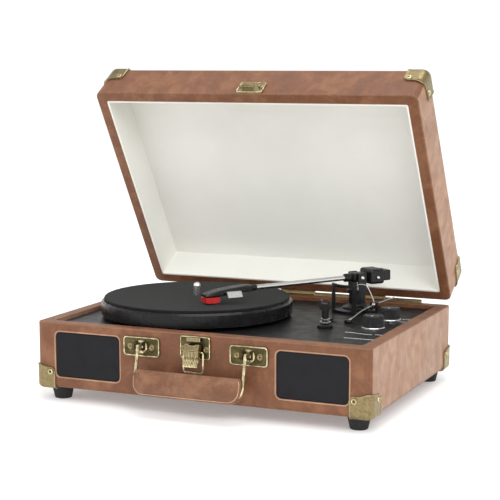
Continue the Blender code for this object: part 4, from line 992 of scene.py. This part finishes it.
def make_stage():
    """The pale round floor, curved up all round into a low wall, and the studio lights."""
    reach, bend, height, steps = 6.0, 1.0, 3.4, 96
    profile = [(share * (reach - bend), 0.0) for share in (0.1, 0.3, 0.6, 1.0)]
    for step in range(1, 13):
        angle = math.pi / 2 * step / 12
        profile.append((reach - bend + bend * math.sin(angle), bend - bend * math.cos(angle)))
    profile.append((reach, height))
    shape = bmesh.new()
    rows = []
    for radius, z in profile:
        angles = [2 * math.pi * step / steps for step in range(steps)]
        rows.append([shape.verts.new((radius * math.cos(angle), radius * math.sin(angle), z))
                     for angle in angles])
    shape.faces.new(rows[0])
    for lower, upper in zip(rows, rows[1:]):
        for step in range(steps):
            following = (step + 1) % steps
            shape.faces.new((lower[step], lower[following], upper[following], upper[step]))
    bmesh.ops.recalc_face_normals(shape, faces=shape.faces)
    mesh = bpy.data.meshes.new("studio_floor")
    shape.to_mesh(mesh)
    mesh.shade_smooth()
    paint = Paint("studio_white", roughness=0.9)
    paint.set("Base Color", paint.blend((0.87, 0.87, 0.87), (0.9, 0.9, 0.9), paint.noise(3.0)))
    paint.set("Emission Color", (1.0, 1.0, 1.0))
    paint.set("Emission Strength", 0.24)
    mesh.materials.append(paint.material)
    floor = bpy.data.objects.new("studio_floor", mesh)
    bpy.context.scene.collection.objects.link(floor)
    world = bpy.data.worlds.new("studio_world")
    bpy.context.scene.world = world
    world.use_nodes = True
    world.node_tree.nodes["Background"].inputs["Color"].default_value = (1.0, 1.0, 1.0, 1.0)
    world.node_tree.nodes["Background"].inputs["Strength"].default_value = 0.75
    lights = (("key_light", (1.3, -1.5, 1.5), 1.1, 20.0), ("fill_light", (-1.5, -1.3, 1.0), 1.2, 3.0),
              ("top_light", (0.1, 0.1, 1.9), 1.4, 16.0))
    for name, place, size, power in lights:
        data = bpy.data.lights.new(name, "AREA")
        data.size = size
        data.energy = power
        light = bpy.data.objects.new(name, data)
        light.location = place
        towards = Vector((0.0, 0.0, 0.1)) - Vector(place)
        light.rotation_euler = towards.to_track_quat("-Z", "Y").to_euler()
        bpy.context.scene.collection.objects.link(light)


def make_camera():
    """The camera at the catalogue view: low, a little to the right and almost square on."""
    data = bpy.data.cameras.new("camera")
    data.sensor_width = 36.0
    data.lens = 102.9
    data.shift_x = -0.0018
    data.shift_y = 0.079
    camera = bpy.data.objects.new("camera", data)
    place = Vector((0.5772, -1.3256, 0.3330))
    aim = Vector((0.0007, -0.0057, 0.1033))
    camera.location = place
    camera.rotation_euler = (aim - place).to_track_quat("-Z", "Y").to_euler()
    bpy.context.scene.collection.objects.link(camera)
    bpy.context.scene.camera = camera


make_camera()
paint_cad_nodes()
make_guards()
make_grille_lips()
make_deck_marks()
make_grip()
make_handle_wire()
make_plate_edges()
make_lever()
make_bail()
make_knobs()
make_tonearm()
make_rest_rings()
make_guide_wire()
make_stage()
bpy.context.scene.view_settings.view_transform = "Standard"
